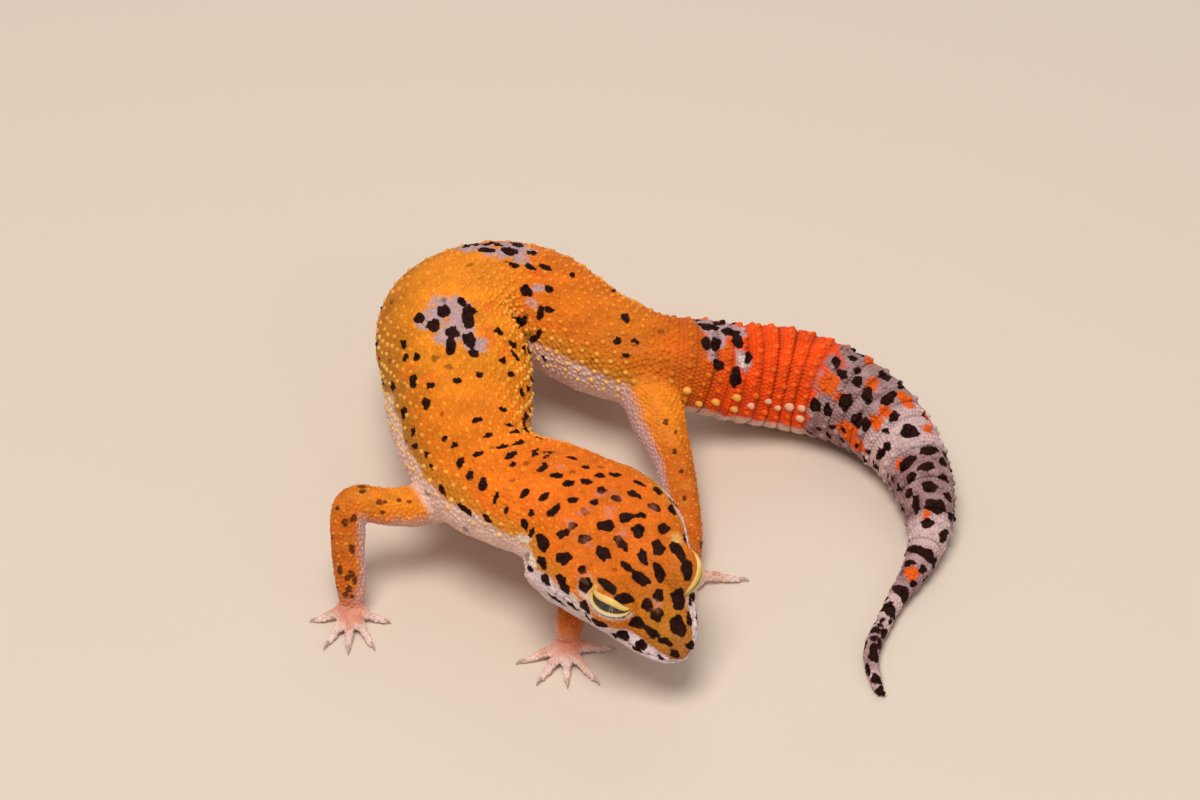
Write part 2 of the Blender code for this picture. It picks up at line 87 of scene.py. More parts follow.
# The head's section at distances from the snout tip. Across and up from the line: the top,
# the crown, the brow, the temple, the lip, the jaw and the throat.
HEAD_GUIDES = (
    (0.2, 0, 0.7, 0.6, 0.6, 1.0, 0.4, 1.2, 0.1, 1.2, -0.2, 0.7, -0.45, 0, -0.5),
    (1.0, 0, 1.7, 1.1, 1.6, 1.9, 1.25, 2.4, 0.6, 2.5, -0.1, 1.6, -1.0, 0, -1.2),
    (3.0, 0, 2.9, 1.7, 2.8, 3.0, 2.3, 3.95, 1.2, 4.2, -0.1, 2.9, -1.6, 0, -2.0),
    (6.0, 0, 4.0, 2.2, 3.9, 4.1, 3.3, 5.4, 1.9, 5.8, 0.0, 4.1, -2.3, 0, -2.8),
    (9.0, 0, 5.1, 3.0, 5.3, 5.8, 4.8, 6.9, 2.9, 7.0, 0.2, 5.1, -2.9, 0, -3.5),
    (12.3, 0, 6.0, 3.9, 6.7, 7.9, 6.1, 8.8, 3.7, 8.6, 0.3, 6.4, -3.4, 0, -4.1),
    (15.5, 0, 6.8, 4.4, 7.1, 8.7, 6.1, 10.0, 3.6, 10.1, 0.2, 7.7, -3.8, 0, -4.6),
    (19.0, 0, 7.2, 4.8, 7.2, 9.0, 5.9, 11.1, 3.0, 11.4, -0.2, 8.9, -4.1, 0, -4.9),
    (23.0, 0, 7.3, 4.8, 7.1, 9.1, 5.4, 11.4, 2.5, 11.9, -0.6, 9.4, -4.3, 0, -5.1),
    (27.0, 0, 7.2, 4.5, 6.8, 8.1, 5.1, 10.4, 2.4, 10.9, -0.6, 8.6, -4.4, 0, -5.3),
    (32.0, 0, 6.9, 3.8, 6.4, 6.7, 4.9, 8.6, 2.4, 9.2, -0.6, 7.2, -4.5, 0, -5.5),
)
HEAD_TO_NECK = (25.0, 33.0)   # where the head's sections give way to the body's ovals
HEAD_ROLL = 8.0               # degrees about the line, its left side the higher
ROLL_FADES = (27.0, 47.0)
OVAL_POWER = 2.15             # 2 is an ellipse, and more is squarer

# ---------------------------------------------------------------------------- the features
EYE_AT = (10.5, 5.2, 3.85)    # along the head, across and up
EYE_RADIUS = 3.3
EYE_CORNERS = (-52, 110)      # where the lids meet, in degrees from straight out to the snout
EYE_HEART = (30.0, 42.0)      # the middle of the lids' dome, in those degrees and degrees up
DOME_SOFTNESS = 0.55          # mm over which a dome melts into the head
EAR_AT = (26.0, 10.4, 1.0)
EAR_HALF = (0.7, 1.25)        # half its length along the head and half its height
NOSTRIL_AT = (1.9, 3.0, 1.15)
NOSTRIL_RADIUS = 0.32
# Distance from the snout tip, and how far below the level of the spine's line the mouth's
# slit runs, in degrees round the head.
MOUTH_LINE = ((0, 1), (1.3, 3), (4.3, 14), (7.6, 16), (14.3, 14), (18.6, 9))
MOUTH_ENDS = (18.0, 19.6)
WHORL = 2.6                   # length of one ring of scales on the tail
WHORLS_FROM = (114.6, 124.0)

# The edges of the lids, as directions from the middle of the eye: degrees from straight out
# towards the snout, and degrees up.
UPPER_LID = ((-52, 30), (-30, 45), (4, 56), (45, 58), (78, 51), (98, 38), (110, 32))
LOWER_LID = ((-52, 30), (-28, 34), (-4, 39), (21, 42), (47, 43), (74, 40), (98, 35), (110, 32))
# How far each side's upper and lower lid are raised, in degrees: the left eye's hang lower.
LID_LIFT = {1: (-38.0, -36.0), -1: (4.0, 2.4)}
LID_HEIGHT = 0.42                 # the lids' thickness over the eyeball
UPPER_ROLL = (0.50, 0.36)         # half the width and half the thickness of the lid's edge
LOWER_ROLL = (0.27, 0.28)
GAZE = (50.0, 22.0)               # the way the pupil looks, in the same degrees

# -------------------------------------------------------------------------------- the limbs
# Each limb runs from inside the body to its wrist or ankle: points on its middle line with
# its radius there. The palm or sole is an egg on the floor: its place seen from above, half
# length, half width and heading. From its middle the toes reach out, each with its own
# direction and reach. `inner` is the way its paler side faces.
LIMBS = {
    "front_right": dict(
        line=((-19.5, -34.5, 12.4, 3.9), (-24.5, -37.6, 12.4, 3.4), (-29.8, -39.5, 13.2, 2.75),
              (-35.2, -40.2, 14.3, 2.65), (-35.9, -43.3, 9.5, 2.5), (-35.6, -45.7, 5.8, 2.3),
              (-35.5, -46.8, 3.4, 2.1), (-35.5, -47.4, 1.6, 1.6)),
        palm=(-35.6, -48.3), palm_size=(2.3, 2.5), heading=-90, inner=(0.75, -0.1, -0.65),
        toes=((-168, 6.0), (-117, 7.8), (-90, 8.0), (-62, 8.0), (-15, 6.0)),
    ),
    "front_left": dict(
        line=((-15, -33.5, 14.5, 3.1), (-9.6, -31.2, 11.5, 2.9), (-5.4, -33.6, 8.0, 2.5),
              (-1.8, -38.6, 5.6, 2.45), (-2.6, -44.6, 5.4, 2.4), (-3.7, -50.4, 5.0, 2.3),
              (-4.4, -53.8, 3.8, 2.1), (-4.7, -55.2, 2.0, 1.7)),
        palm=(-4.8, -55.8), palm_size=(2.3, 2.4), heading=-90, inner=(-0.75, 0.1, -0.65),
        toes=((-162, 7.4), (-122, 7.8), (-88, 7.2), (-54, 8.2), (5, 7.2)),
    ),
    "hind_left": dict(
        line=((4.6, -4.5, 13.0, 4.6), (7.4, -11.0, 11.2, 4.8), (9.0, -17.6, 9.4, 3.9),
              (10.6, -22.6, 8.0, 3.0), (11.6, -28.6, 6.9, 2.75), (12.3, -34.6, 5.3, 2.55),
              (12.6, -38.4, 3.4, 2.2), (12.8, -39.8, 2.0, 1.8)),
        palm=(13.0, -40.9), palm_size=(2.6, 2.4), heading=-100, inner=(-0.85, -0.1, -0.5),
        toes=((-170, 6.2), (-138, 7.6), (-110, 8.6), (-86, 8.8), (0, 8.6)),
    ),
    "hind_right": dict(
        line=((4.4, -3, 13.0, 4.4), (3.6, 4.0, 11.0, 4.6), (0.0, 8.6, 9.2, 3.7),
              (-4.6, 11.6, 8.0, 3.0), (-5.6, 15.8, 6.2, 2.7), (-6.2, 19.6, 4.2, 2.4),
              (-6.6, 21.4, 2.8, 2.1), (-7.0, 22.2, 1.8, 1.7)),
        palm=(-7.6, 23.2), palm_size=(2.6, 2.4), heading=125, inner=(0.75, 0.2, -0.6),
        toes=((60, 6.4), (88, 8.4), (118, 8.6), (148, 7.8), (186, 6.2)),
    ),
}
PALM_HEIGHT = 1.2
FLOOR_TRIM = 0.12       # how far the soles are pressed into the floor, to lie flat on it
# Share of a toe's reach, its height above the floor, and its radius, from the palm to where
# the claw leaves it, with a thickening at each joint.
TOE_LINE = (
    (0.05, 1.2, 0.95), (0.2, 1.3, 0.86), (0.32, 1.32, 0.74), (0.42, 1.2, 0.78), (0.52, 1.02, 0.6),
    (0.62, 0.82, 0.62), (0.72, 0.66, 0.5), (0.82, 0.6, 0.46), (0.9, 0.6, 0.3),
)
CLAW_LINE = (
    (0.82, 0.7, 0.24), (0.88, 0.82, 0.23), (0.93, 0.72, 0.17), (0.97, 0.5, 0.1), (1.0, 0.22, 0.03),
)


# =============================================================================== curves
def eased(rows, at):
    """The table's columns at the distances `at`: a cubic between neighbouring rows, whose
    slope at a row is the harmonic mean of the slopes beside it, so it never overshoots."""
    rows = np.array(rows, float)
    x, y = rows[:, 0], rows[:, 1:]
    step = np.diff(x)[:, None]
    slope = np.diff(y, axis=0) / step
    product = slope[:-1] * slope[1:]
    total = np.where(product > 0, slope[:-1] + slope[1:], 1)
    inner = np.where(product > 0, 2 * product / total, 0)
    at_rows = np.vstack([slope[:1], inner, slope[-1:]])
    at = np.clip(np.asarray(at, float), x[0], x[-1])
    i = np.clip(np.searchsorted(x, at, side="right") - 1, 0, len(x) - 2)
    h = step[i]
    u = (at - x[i])[..., None] / h
    return (
        (1 + 2 * u) * (1 - u) ** 2 * y[i] + u * (1 - u) ** 2 * h * at_rows[i]
        + u**2 * (3 - 2 * u) * y[i + 1] - u**2 * (1 - u) * h * at_rows[i + 1]
    )


def read_table(table, at):
    """A table's second column at places in its first, along straight lines between rows."""
    return np.interp(at, *np.array(table, float).T)


def fade(x, start, end):
    """0 before start, 1 after end, with an S-shaped rise between them."""
    u = np.clip((x - start) / (end - start), 0, 1)
    return u * u * (3 - 2 * u)


def bump(x, width):
    """A bell: 1 at x = 0, falling to about a third at `width`."""
    return np.exp(-((x / width) ** 2))


def unit(vectors):
    """Vectors brought to length 1."""
    return vectors / np.maximum(np.linalg.norm(vectors, axis=-1, keepdims=True), 1e-9)


def spine_line(step=0.25):
    """Distances along the spine, its points, and how fast it turns to its left, in 1/mm.

    The line is a running sum of unit steps: their direction is the table of headings, and
    their climb is the slope of the table of heights."""
    s = np.arange(0, TOTAL_LENGTH + step / 2, step)
    heading = np.radians(eased(HEADING, s)[:, 0])
    height = eased(LINE_HEIGHT, s)[:, 0]
    level = np.sqrt(1 - np.gradient(height, s) ** 2)

    def run(component):
        speed = component * level
        return np.concatenate([[0], np.cumsum((speed[1:] + speed[:-1]) / 2) * step])

    x = SNOUT_TIP[0] - CENTRE[0] + run(np.cos(heading))
    y = SNOUT_TIP[1] - CENTRE[1] + run(np.sin(heading))
    turn = np.gradient(heading, s)
    near = np.exp(-((np.arange(-8, 8.1, step) / 3) ** 2))
    turn = np.convolve(np.pad(turn, len(near) // 2, mode="edge"), near / near.sum(), "valid")
    return s, np.stack([x, y, height], 1), turn


SPINE_AT, SPINE_POINTS, SPINE_TURN = spine_line()


def read_along(values, s):
    """Values kept at SPINE_AT, read at the distances s."""
    if values.ndim == 1:
        return np.interp(s, SPINE_AT, values)
    return np.stack([np.interp(s, SPINE_AT, column) for column in values.T], -1)


def spine_frames(s):
    """Points of the line and unit vectors to the animal's left and its up, at distances s."""
    slope = np.gradient(SPINE_POINTS, SPINE_AT, axis=0)
    ahead = unit(-read_along(slope, s))
    left = unit(np.cross([0, 0, 1], ahead))
    up = np.cross(ahead, left)
    roll = np.radians(HEAD_ROLL) * (1 - fade(s, *ROLL_FADES))[:, None]
    left, up = left * np.cos(roll) + up * np.sin(roll), up * np.cos(roll) - left * np.sin(roll)
    return read_along(SPINE_POINTS, s), left, up


def head_sections(s, t):
    """Across and up from the line: for each s, a closed cubic B-spline through the guides.

    t runs once round from the left side over the top. The guides stand at equal steps of t,
    and the spline's own control points are those that make it pass through them."""
    guides = eased(HEAD_GUIDES, s).reshape(len(s), 7, 2)
    mirrored = guides[:, 5:0:-1] * [-1, 1]
    ring = np.concatenate([guides, mirrored], 1)
    count = ring.shape[1]
    one = np.eye(count)
    through = (np.roll(one, 1, 1) + 4 * one + np.roll(one, -1, 1)) / 6
    control = np.einsum("ij,njk->nik", np.linalg.inv(through), ring)
    place = (math.pi / 2 - t) / (2 * math.pi) * count
    i = np.floor(place).astype(int)
    u = (place - i)[None, :, None]
    weights = ((1 - u) ** 3, 3 * u**3 - 6 * u**2 + 4, -3 * u**3 + 3 * u**2 + 3 * u + 1, u**3)
    parts = [w / 6 * control[:, (i + k - 1) % count] for k, w in enumerate(weights)]
    return np.moveaxis(sum(parts), -1, 0)


def oval_sections(s, t):
    """Across and up from the line: superellipses with their own height and depth."""
    width, above, below = np.moveaxis(eased(GIRTH, s), -1, 0)[..., None]
    across, lift = np.cos(t)[None], np.sin(t)[None]
    x = width * np.sign(across) * np.abs(across) ** (2 / OVAL_POWER)
    z = np.sign(lift) * np.abs(lift) ** (2 / OVAL_POWER)
    return x, np.where(z > 0, z * above, z * below)


def body_section(s, t, grow=0.0):
    """The skin's section at each distance s, across and up from the line, pushed out by `grow`.

    The inner side of a bend is squeezed to stay inside the bend's radius. Both ends close in
    a round nose."""
    blend = fade(s, *HEAD_TO_NECK)[:, None]
    head_x, head_z = head_sections(s, t)
    body_x, body_z = oval_sections(s, t)
    x = head_x * (1 - blend) + body_x * blend
    z = head_z * (1 - blend) + body_z * blend
    # seen from above, a line that turns left as it runs tailwards closes up on the animal's
    # own right, because the animal looks the other way
    turn = read_along(SPINE_TURN, s)[:, None]
    x = x + BEND_SHIFT * turn * fade(s, *BEND_SHIFT_FROM)[:, None]
    closing = np.maximum(-turn * np.sign(x), 0)
    x = x / (1 + (np.abs(x) * closing / 0.95) ** 6) ** (1 / 6)
    nose = np.sqrt(1 - np.clip(1 - s / 0.35, 0, 1) ** 2)
    tip = np.sqrt(1 - np.clip((s - TOTAL_LENGTH + 0.75) / 0.75, 0, 1) ** 2)
    closed = (nose * tip)[:, None]
    return (x + grow * np.cos(t)) * closed, (z + grow * np.sin(t)) * closed


def body_points(s, t, grow=0.0):
    """The skin's points, a row of them for each distance s, pressed flat where they meet the
    floor."""
    x, z = body_section(s, t, grow)
    centre, left, up = spine_frames(s)
    points = centre[:, None] + x[..., None] * left[:, None] + z[..., None] * up[:, None]
    points[..., 2] = np.maximum(points[..., 2], 0)
    return points


def head_place(along, across, up):
    """A point given along the head from the snout tip, to its left and up from the line."""
    centre, left, above = spine_frames(np.array([float(along)]))
    return centre[0] + across * left[0] + up * above[0]


def head_axes(along, side):
    """Unit vectors out to that side, up and ahead at a distance along the head."""
    _, left, up = spine_frames(np.array([float(along)]))
    return side * left[0], up[0], np.cross(left[0], up[0])


def smooth_line(points, count):
    """A Catmull-Rom curve through the rows of `points`, read at `count` even steps."""
    points = np.array(points, float)
    padded = np.vstack([2 * points[0] - points[1], points, 2 * points[-1] - points[-2]])
    place = np.linspace(0, len(points) - 1, count)
    i = np.minimum(place.astype(int), len(points) - 2)
    u = (place - i)[:, None]
    a, b, c, d = (padded[i + k] for k in range(4))
    return (
        2 * b + (c - a) * u + (2 * a - 5 * b + 4 * c - d) * u**2
        + (3 * b - a - 3 * c + d) * u**3
    ) / 2


def placed(points):
    """Points of the drawing moved so that the origin stands under the animal's middle."""
    points = np.array(points, float)
    points[..., :2] -= CENTRE
    return points


# ========================================================================= meshes from arrays
def ring_faces(counts):
    """Faces of a closed skin over rings of points that follow one another in one list.

    Equal rings are joined by quads. Where the count halves, each coarse side takes three
    triangles. The first and last points of the list close the two ends by fans."""
    faces = []
    first = 1
    ring = np.arange(counts[0])
    after = np.roll(ring, -1)
    faces += np.stack([0 * ring, first + ring, first + after], 1).tolist()
    for here, there in zip(counts[:-1], counts[1:]):
        below = first + here
        ring = np.arange(there)
        after = np.roll(ring, -1)
        if here == there:
            quads = [first + ring, below + ring, below + after, first + after]
            faces += np.stack(quads, 1).tolist()
        else:
            near, middle, far = 2 * ring, 2 * ring + 1, (2 * ring + 2) % here
            faces += np.stack([first + near, below + ring, first + middle], 1).tolist()
            faces += np.stack([first + middle, below + ring, below + after], 1).tolist()
            faces += np.stack([first + middle, below + after, first + far], 1).tolist()
        first = below
    ring = np.arange(counts[-1])
    last = first + counts[-1]
    faces += np.stack([first + ring, 0 * ring + last, first + np.roll(ring, -1)], 1).tolist()
    return faces


def tube(line, sides):
    """A closed tube's points and faces: rings about a line of points with radii, each turned
    as little as can be from the last."""
    points, radii = line[:, :3], line[:, 3]
    ahead = unit(np.gradient(points, axis=0))
    side = np.cross(ahead[0], [0.31, 0.17, 0.94])
    angle = -np.arange(sides) / sides * 2 * math.pi
    rings = []
    for point, way, radius in zip(points, ahead, radii):
        side = unit(side - way * (side @ way))
        other = np.cross(way, side)
        round_it = np.cos(angle)[:, None] * side + np.sin(angle)[:, None] * other
        rings.append(point + radius * round_it)
    verts = np.concatenate([points[:1], np.concatenate(rings), points[-1:]])
    return verts, ring_faces([sides] * len(points))


def ball(centre, radii, axes, around=24, rings=16):
    """An egg's points and faces: circles of latitude about its third axis."""
    lat = np.linspace(-math.pi / 2, math.pi / 2, rings + 2)[1:-1]
    lon = np.arange(around) / around * 2 * math.pi
    unit_ball = np.stack([
        np.cos(lat)[:, None] * np.cos(lon), np.cos(lat)[:, None] * np.sin(lon),
        np.sin(lat)[:, None] + 0 * lon,
    ], -1).reshape(-1, 3)
    unit_ball = np.concatenate([[[0, 0, -1]], unit_ball, [[0, 0, 1]]])
    faces = [face[::-1] for face in ring_faces([around] * rings)]
    return (unit_ball * radii) @ np.array(axes) + centre, faces


def joined(shapes):
    """Several shapes' points and faces as one list of each."""
    verts, faces, start = [], [], 0
    for points, polygons in shapes:
        verts.append(points)
        faces += [[corner + start for corner in polygon] for polygon in polygons]
        start += len(points)
    return np.concatenate(verts), faces


def add_mesh(name, points, faces):
    """A new smooth-shaded object from points in mm."""
    data = bpy.data.meshes.new(name)
    data.from_pydata(points * MM, [], faces if isinstance(faces, list) else faces.tolist())
    data.update()
    data.shade_smooth()
    made = bpy.data.objects.new(name, data)
    bpy.context.scene.collection.objects.link(made)
    return made


def applied(target, change_type, **settings):
    """Puts one modifier on the object and keeps its result as the object's own mesh."""
    change = target.modifiers.new(change_type.lower(), change_type)
    for key, value in settings.items():
        setattr(change, key, value)
    bpy.context.view_layer.update()
    seen = target.evaluated_get(bpy.context.evaluated_depsgraph_get())
    result = bpy.data.meshes.new_from_object(seen)
    target.modifiers.clear()
    old = target.data
    target.data = result
    bpy.data.meshes.remove(old)
    return target


def read_points(mesh, normals=False):
    """A mesh's points in mm, or its unit normals there."""
    flat = np.empty(len(mesh.vertices) * 3, np.float32)
    if normals:
        mesh.vertex_normals.foreach_get("vector", flat)
        return flat.reshape(-1, 3).astype(float)
    mesh.vertices.foreach_get("co", flat)
    return flat.reshape(-1, 3) / MM


def write_points(mesh, points):
    """Moves a mesh's points to new places in mm."""
    mesh.vertices.foreach_set("co", (points * MM).astype(np.float32).ravel())
    mesh.update()


def relaxed(mesh, points, weight, rounds):
    """Points drawn towards the mean of their neighbours, `weight` of the way in each round."""
    ends = np.empty(len(mesh.edges) * 2, np.int32)
    mesh.edges.foreach_get("vertices", ends)
    a, b = ends.reshape(-1, 2).T
    count = len(points)
    near = np.bincount(a, minlength=count) + np.bincount(b, minlength=count)
    for _ in range(rounds):
        mean = np.empty_like(points)
        for axis in range(3):
            column = points[:, axis]
            total = np.bincount(a, column[b], count) + np.bincount(b, column[a], count)
            mean[:, axis] = total / near
        points = points + (mean - points) * weight[:, None]
    return points


# ======================================================================= the body's surface
def eye_frame(side):
    """An eye's middle, and its axes out, up and ahead."""
    return head_place(EYE_AT[0], side * EYE_AT[1], EYE_AT[2]), head_axes(EYE_AT[0], side)


def lid_angles(directions, axes):
    """Degrees from straight out towards the snout, and degrees up, of unit vectors."""
    out, up, ahead = (directions @ axis for axis in axes)
    return np.degrees(np.arctan2(ahead, out)), np.degrees(np.arcsin(np.clip(up, -1, 1)))


def lid_direction(lon, lat, axes):
    """Unit vectors in the directions given by those two angles."""
    lon, lat = np.radians(lon)[..., None], np.radians(lat)[..., None]
    out, up, ahead = axes
    return np.cos(lat) * (np.cos(lon) * out + np.sin(lon) * ahead) + np.sin(lat) * up


def lid_edges(lon, side):
    """Degrees up of the lower and the upper lid's edge."""
    lift_upper, lift_lower = LID_LIFT[side]
    return read_table(LOWER_LID, lon) + lift_lower, read_table(UPPER_LID, lon) + lift_upper


def with_eye_domes(points):
    """The head's points pushed out over each eyeball to the lids' height.

    Along the line from the eye's middle, a point goes to the larger of its own distance and
    the dome's radius, blended where they are close. Near the slit it goes to the dome itself,
    and between the lids it drops inside the eyeball."""
    for side in (1, -1):
        middle, axes = eye_frame(side)
        away = points - middle
        distance = np.linalg.norm(away, axis=1)
        way = away / distance[:, None]
        lon, lat = lid_angles(way, axes)
        lower, upper = lid_edges(lon, side)
        outside = np.maximum(lower - lat, lat - upper)
        beyond = np.maximum(np.maximum(EYE_CORNERS[0] - lon, lon - EYE_CORNERS[1]), 0)
        beyond = beyond * np.cos(np.radians(lat))
        outside = np.hypot(np.maximum(outside, 0), beyond)
        facing = way @ lid_direction(*np.array(EYE_HEART), axes)
        dome = EYE_RADIUS + LID_HEIGHT - SKIN_INSET
        raised = (distance + dome + np.sqrt((distance - dome) ** 2 + DOME_SOFTNESS**2)) / 2
        raised = np.where(facing > -0.25, raised, distance)
        raised = distance + (raised - distance) * fade(facing, -0.25, 0.1)
        raised = np.where(distance > dome + 1.6, distance, raised)
        pull = bump(outside, 17.0) * fade(facing, 0.1, 0.5)
        raised = raised + (dome - raised) * pull
        slit = (lat > lower - 3.5) & (lat < upper + 4.0)
        slit &= (lon > EYE_CORNERS[0] + 6) & (lon < EYE_CORNERS[1] - 6)
        raised = np.where(slit, EYE_RADIUS - 0.55, raised)
        near = (distance < 8.0) & (facing > -0.25)
        points = np.where(near[:, None], middle + way * raised[:, None], points)
    return points


def mouth_gap(s, t, reach):
    """Signed distance in mm round the head from the mouth's slit, positive above it."""
    below = np.radians(read_table(MOUTH_LINE, s))
    t = (t + math.pi / 2) % (2 * math.pi) - math.pi / 2
    turned = np.where(t < math.pi / 2, t + below, math.pi - t + below)
    return turned * reach


def whorl_grooves(s):
    """1 in the grooves between the rings of the tail, falling to 0 on the rings."""
    phase = (s - WHORLS_FROM[0]) / WHORL
    phase = (phase - np.floor(phase) - 0.5) * WHORL
    return bump(phase, 0.34) * fade(s, *WHORLS_FROM) * (1 - fade(s, 192, 202))


def body_relief(s, t, x, z):
    """How far the skin stands out of its smooth loft, in mm, for rows of s and columns of t:
    the mouth's slit between two lips, the rings of the tail, and creases where the body folds
    on the inner side of a bend."""
    reach = np.hypot(x, z)
    s = s[:, None] + 0 * t
    t = t[None] + 0 * s
    gap = mouth_gap(s, t, reach)
    mouth = (1 - fade(s, *MOUTH_ENDS)) * fade(reach, 0.3, 1.0)
    lips = 0.1 * bump(gap - 0.65, 0.4) + 0.06 * bump(gap + 0.65, 0.4)
    height = mouth * (lips - 0.42 * bump(gap, 0.2))
    # a soft hollow between the eye and the nostril, and behind the corner of the mouth
    height -= 0.25 * bump(s - 6.0, 2.2) * bump(gap - 2.6, 0.9)
    height += 0.35 * bump(s - 21.5, 3.0) * bump(gap + 1.8, 1.6)
    height -= (0.10 + 0.032 * np.minimum(reach, 7)) * whorl_grooves(s)
    # creases of the folded side
    turn = read_along(SPINE_TURN, s[:, 0])[:, None]
    folded = fade(np.maximum(-turn * np.sign(x), 0) * np.abs(x), 0.3, 0.85)
    wave = 0.5 + 0.5 * np.cos(2 * math.pi * s / 2.3 + 0.9 * np.sin(z * 0.9 + s * 0.3))
    height -= 0.34 * folded * wave**3 * fade(s, 27, 32)
    # the slack skin of the throat and flanks
    loose = bump(z + 2.0, 4.5) * fade(s, 30, 40) * (1 - fade(s, 104, 116))
    height += 0.1 * loose * np.sin(s * 1.15 + 1.3 * np.sin(z * 0.55) + 0.8 * np.sin(s * 0.31))
    return height


def grid_normals(points):
    """Outward unit normals of rows of rings, across the differences along and round."""
    along = np.gradient(points, axis=0)
    around = np.roll(points, -1, 1) - np.roll(points, 1, 1)
    return unit(np.cross(along, around))


def with_pits(points, normals):
    """The head's points sunk into the ears and the nostrils, each behind a low raised rim."""
    for side in (1, -1):
        _, up, ahead = head_axes(EAR_AT[0], side)
        away = points - head_place(EAR_AT[0], side * EAR_AT[1], EAR_AT[2])
        out = np.hypot((away @ ahead) / EAR_HALF[0], (away @ up) / EAR_HALF[1])
        out = np.hypot(out, np.linalg.norm(away, axis=-1) / 4)
        depth = 0.16 * bump(out - 1.7, 0.45) - 1.25 * np.exp(-(out**3))
        points = points + normals * depth[..., None]
        away = points - head_place(NOSTRIL_AT[0], side * NOSTRIL_AT[1], NOSTRIL_AT[2])
        out = np.linalg.norm(away, axis=-1) / NOSTRIL_RADIUS
        depth = 0.07 * bump(out - 1.8, 0.5) - 0.5 * np.exp(-(out**2))
        points = points + normals * depth[..., None]
    return points


# Stretches of the body's rings: first and last distance, step, and points round each ring.
RING_BLOCKS = ((0.45, 31.8, 0.27, 216), (32.1, 149.8, 0.54, 108), (150.3, 204.7, 0.47, 54))
NOSE_RINGS = (0.015, 0.05, 0.11, 0.19, 0.3)
TIP_RINGS = (204.85, 204.95)


def body_shape():
    """The body's points and faces: rings along the spine, finer on the head, raised and sunk
    along their normals by the relief, the ears, the nostrils and the eyes' domes."""
    verts, counts = [SPINE_POINTS[:1]], []
    for number, (first, last, step, sides) in enumerate(RING_BLOCKS):
        s = np.linspace(first, last, round((last - first) / step) + 1)
        if number == 0:
            s = np.concatenate([NOSE_RINGS, s])
        if number == len(RING_BLOCKS) - 1:
            s = np.concatenate([s, TIP_RINGS])
        t = -math.pi / 2 + np.arange(sides) / sides * 2 * math.pi
        x, z = body_section(s, t, -SKIN_INSET)
        points = body_points(s, t, -SKIN_INSET)
        normals = grid_normals(points)
        points = points + normals * body_relief(s, t, x, z)[..., None]
        if number == 0:
            points = with_pits(points, normals)
            shape = points.shape
            points = with_eye_domes(points.reshape(-1, 3)).reshape(shape)
        points[..., 2] = np.maximum(points[..., 2], 0)
        verts.append(points.reshape(-1, 3))
        counts += [sides] * len(s)
    verts.append(SPINE_POINTS[-1:])
    return np.concatenate(verts), ring_faces(counts)


# ================================================================================ the limbs
def limb_line(limb, count):
    """The limb's middle line and radii, at `count` even steps."""
    return smooth_line(placed(limb["line"]), count)


def toe_points(limb, toe, rows):
    """Points with radii along one toe, from rows of share, height and radius."""
    direction, reach = toe
    way = np.radians(direction)
    share, height, radius = np.array(rows).T
    forward = np.array([math.cos(way), math.sin(way)])
    along = placed(limb["palm"]) + reach * share[:, None] * forward
    return np.column_stack([along, height - FLOOR_TRIM, radius])


def limb_shapes(limb):
    """The tube of the limb, its palm or sole, and its five toes, as overlapping closed shapes."""
    line = limb_line(limb, 46)
    line[:, 3] -= 0.1
    turn = np.radians(limb["heading"])
    axes = ((math.cos(turn), math.sin(turn), 0), (-math.sin(turn), math.cos(turn), 0), (0, 0, 1))
    middle = np.array([*placed(limb["palm"]), PALM_HEIGHT - FLOOR_TRIM])
    shapes = [tube(line, 28), ball(middle, (*limb["palm_size"], PALM_HEIGHT), axes)]
    for toe in limb["toes"]:
        shapes.append(tube(smooth_line(toe_points(limb, toe, TOE_LINE), 26), 14))
    return shapes


LIMB_VOXEL = 0.31       # side of the small cubes, mm


def limbs_object():
    """All four limbs, each melted into one surface on a grid of small cubes, then smoothed."""
    shapes = [shape for limb in LIMBS.values() for shape in limb_shapes(limb)]
    made = add_mesh("limbs", *joined(shapes))
    applied(made, "REMESH", mode="VOXEL", voxel_size=LIMB_VOXEL * MM, use_smooth_shade=True)
    points = read_points(made.data)
    points = relaxed(made.data, points, np.full(len(points), 0.5), 4)
    points[:, 2] = np.maximum(points[:, 2], 0)
    write_points(made.data, points)
    return made
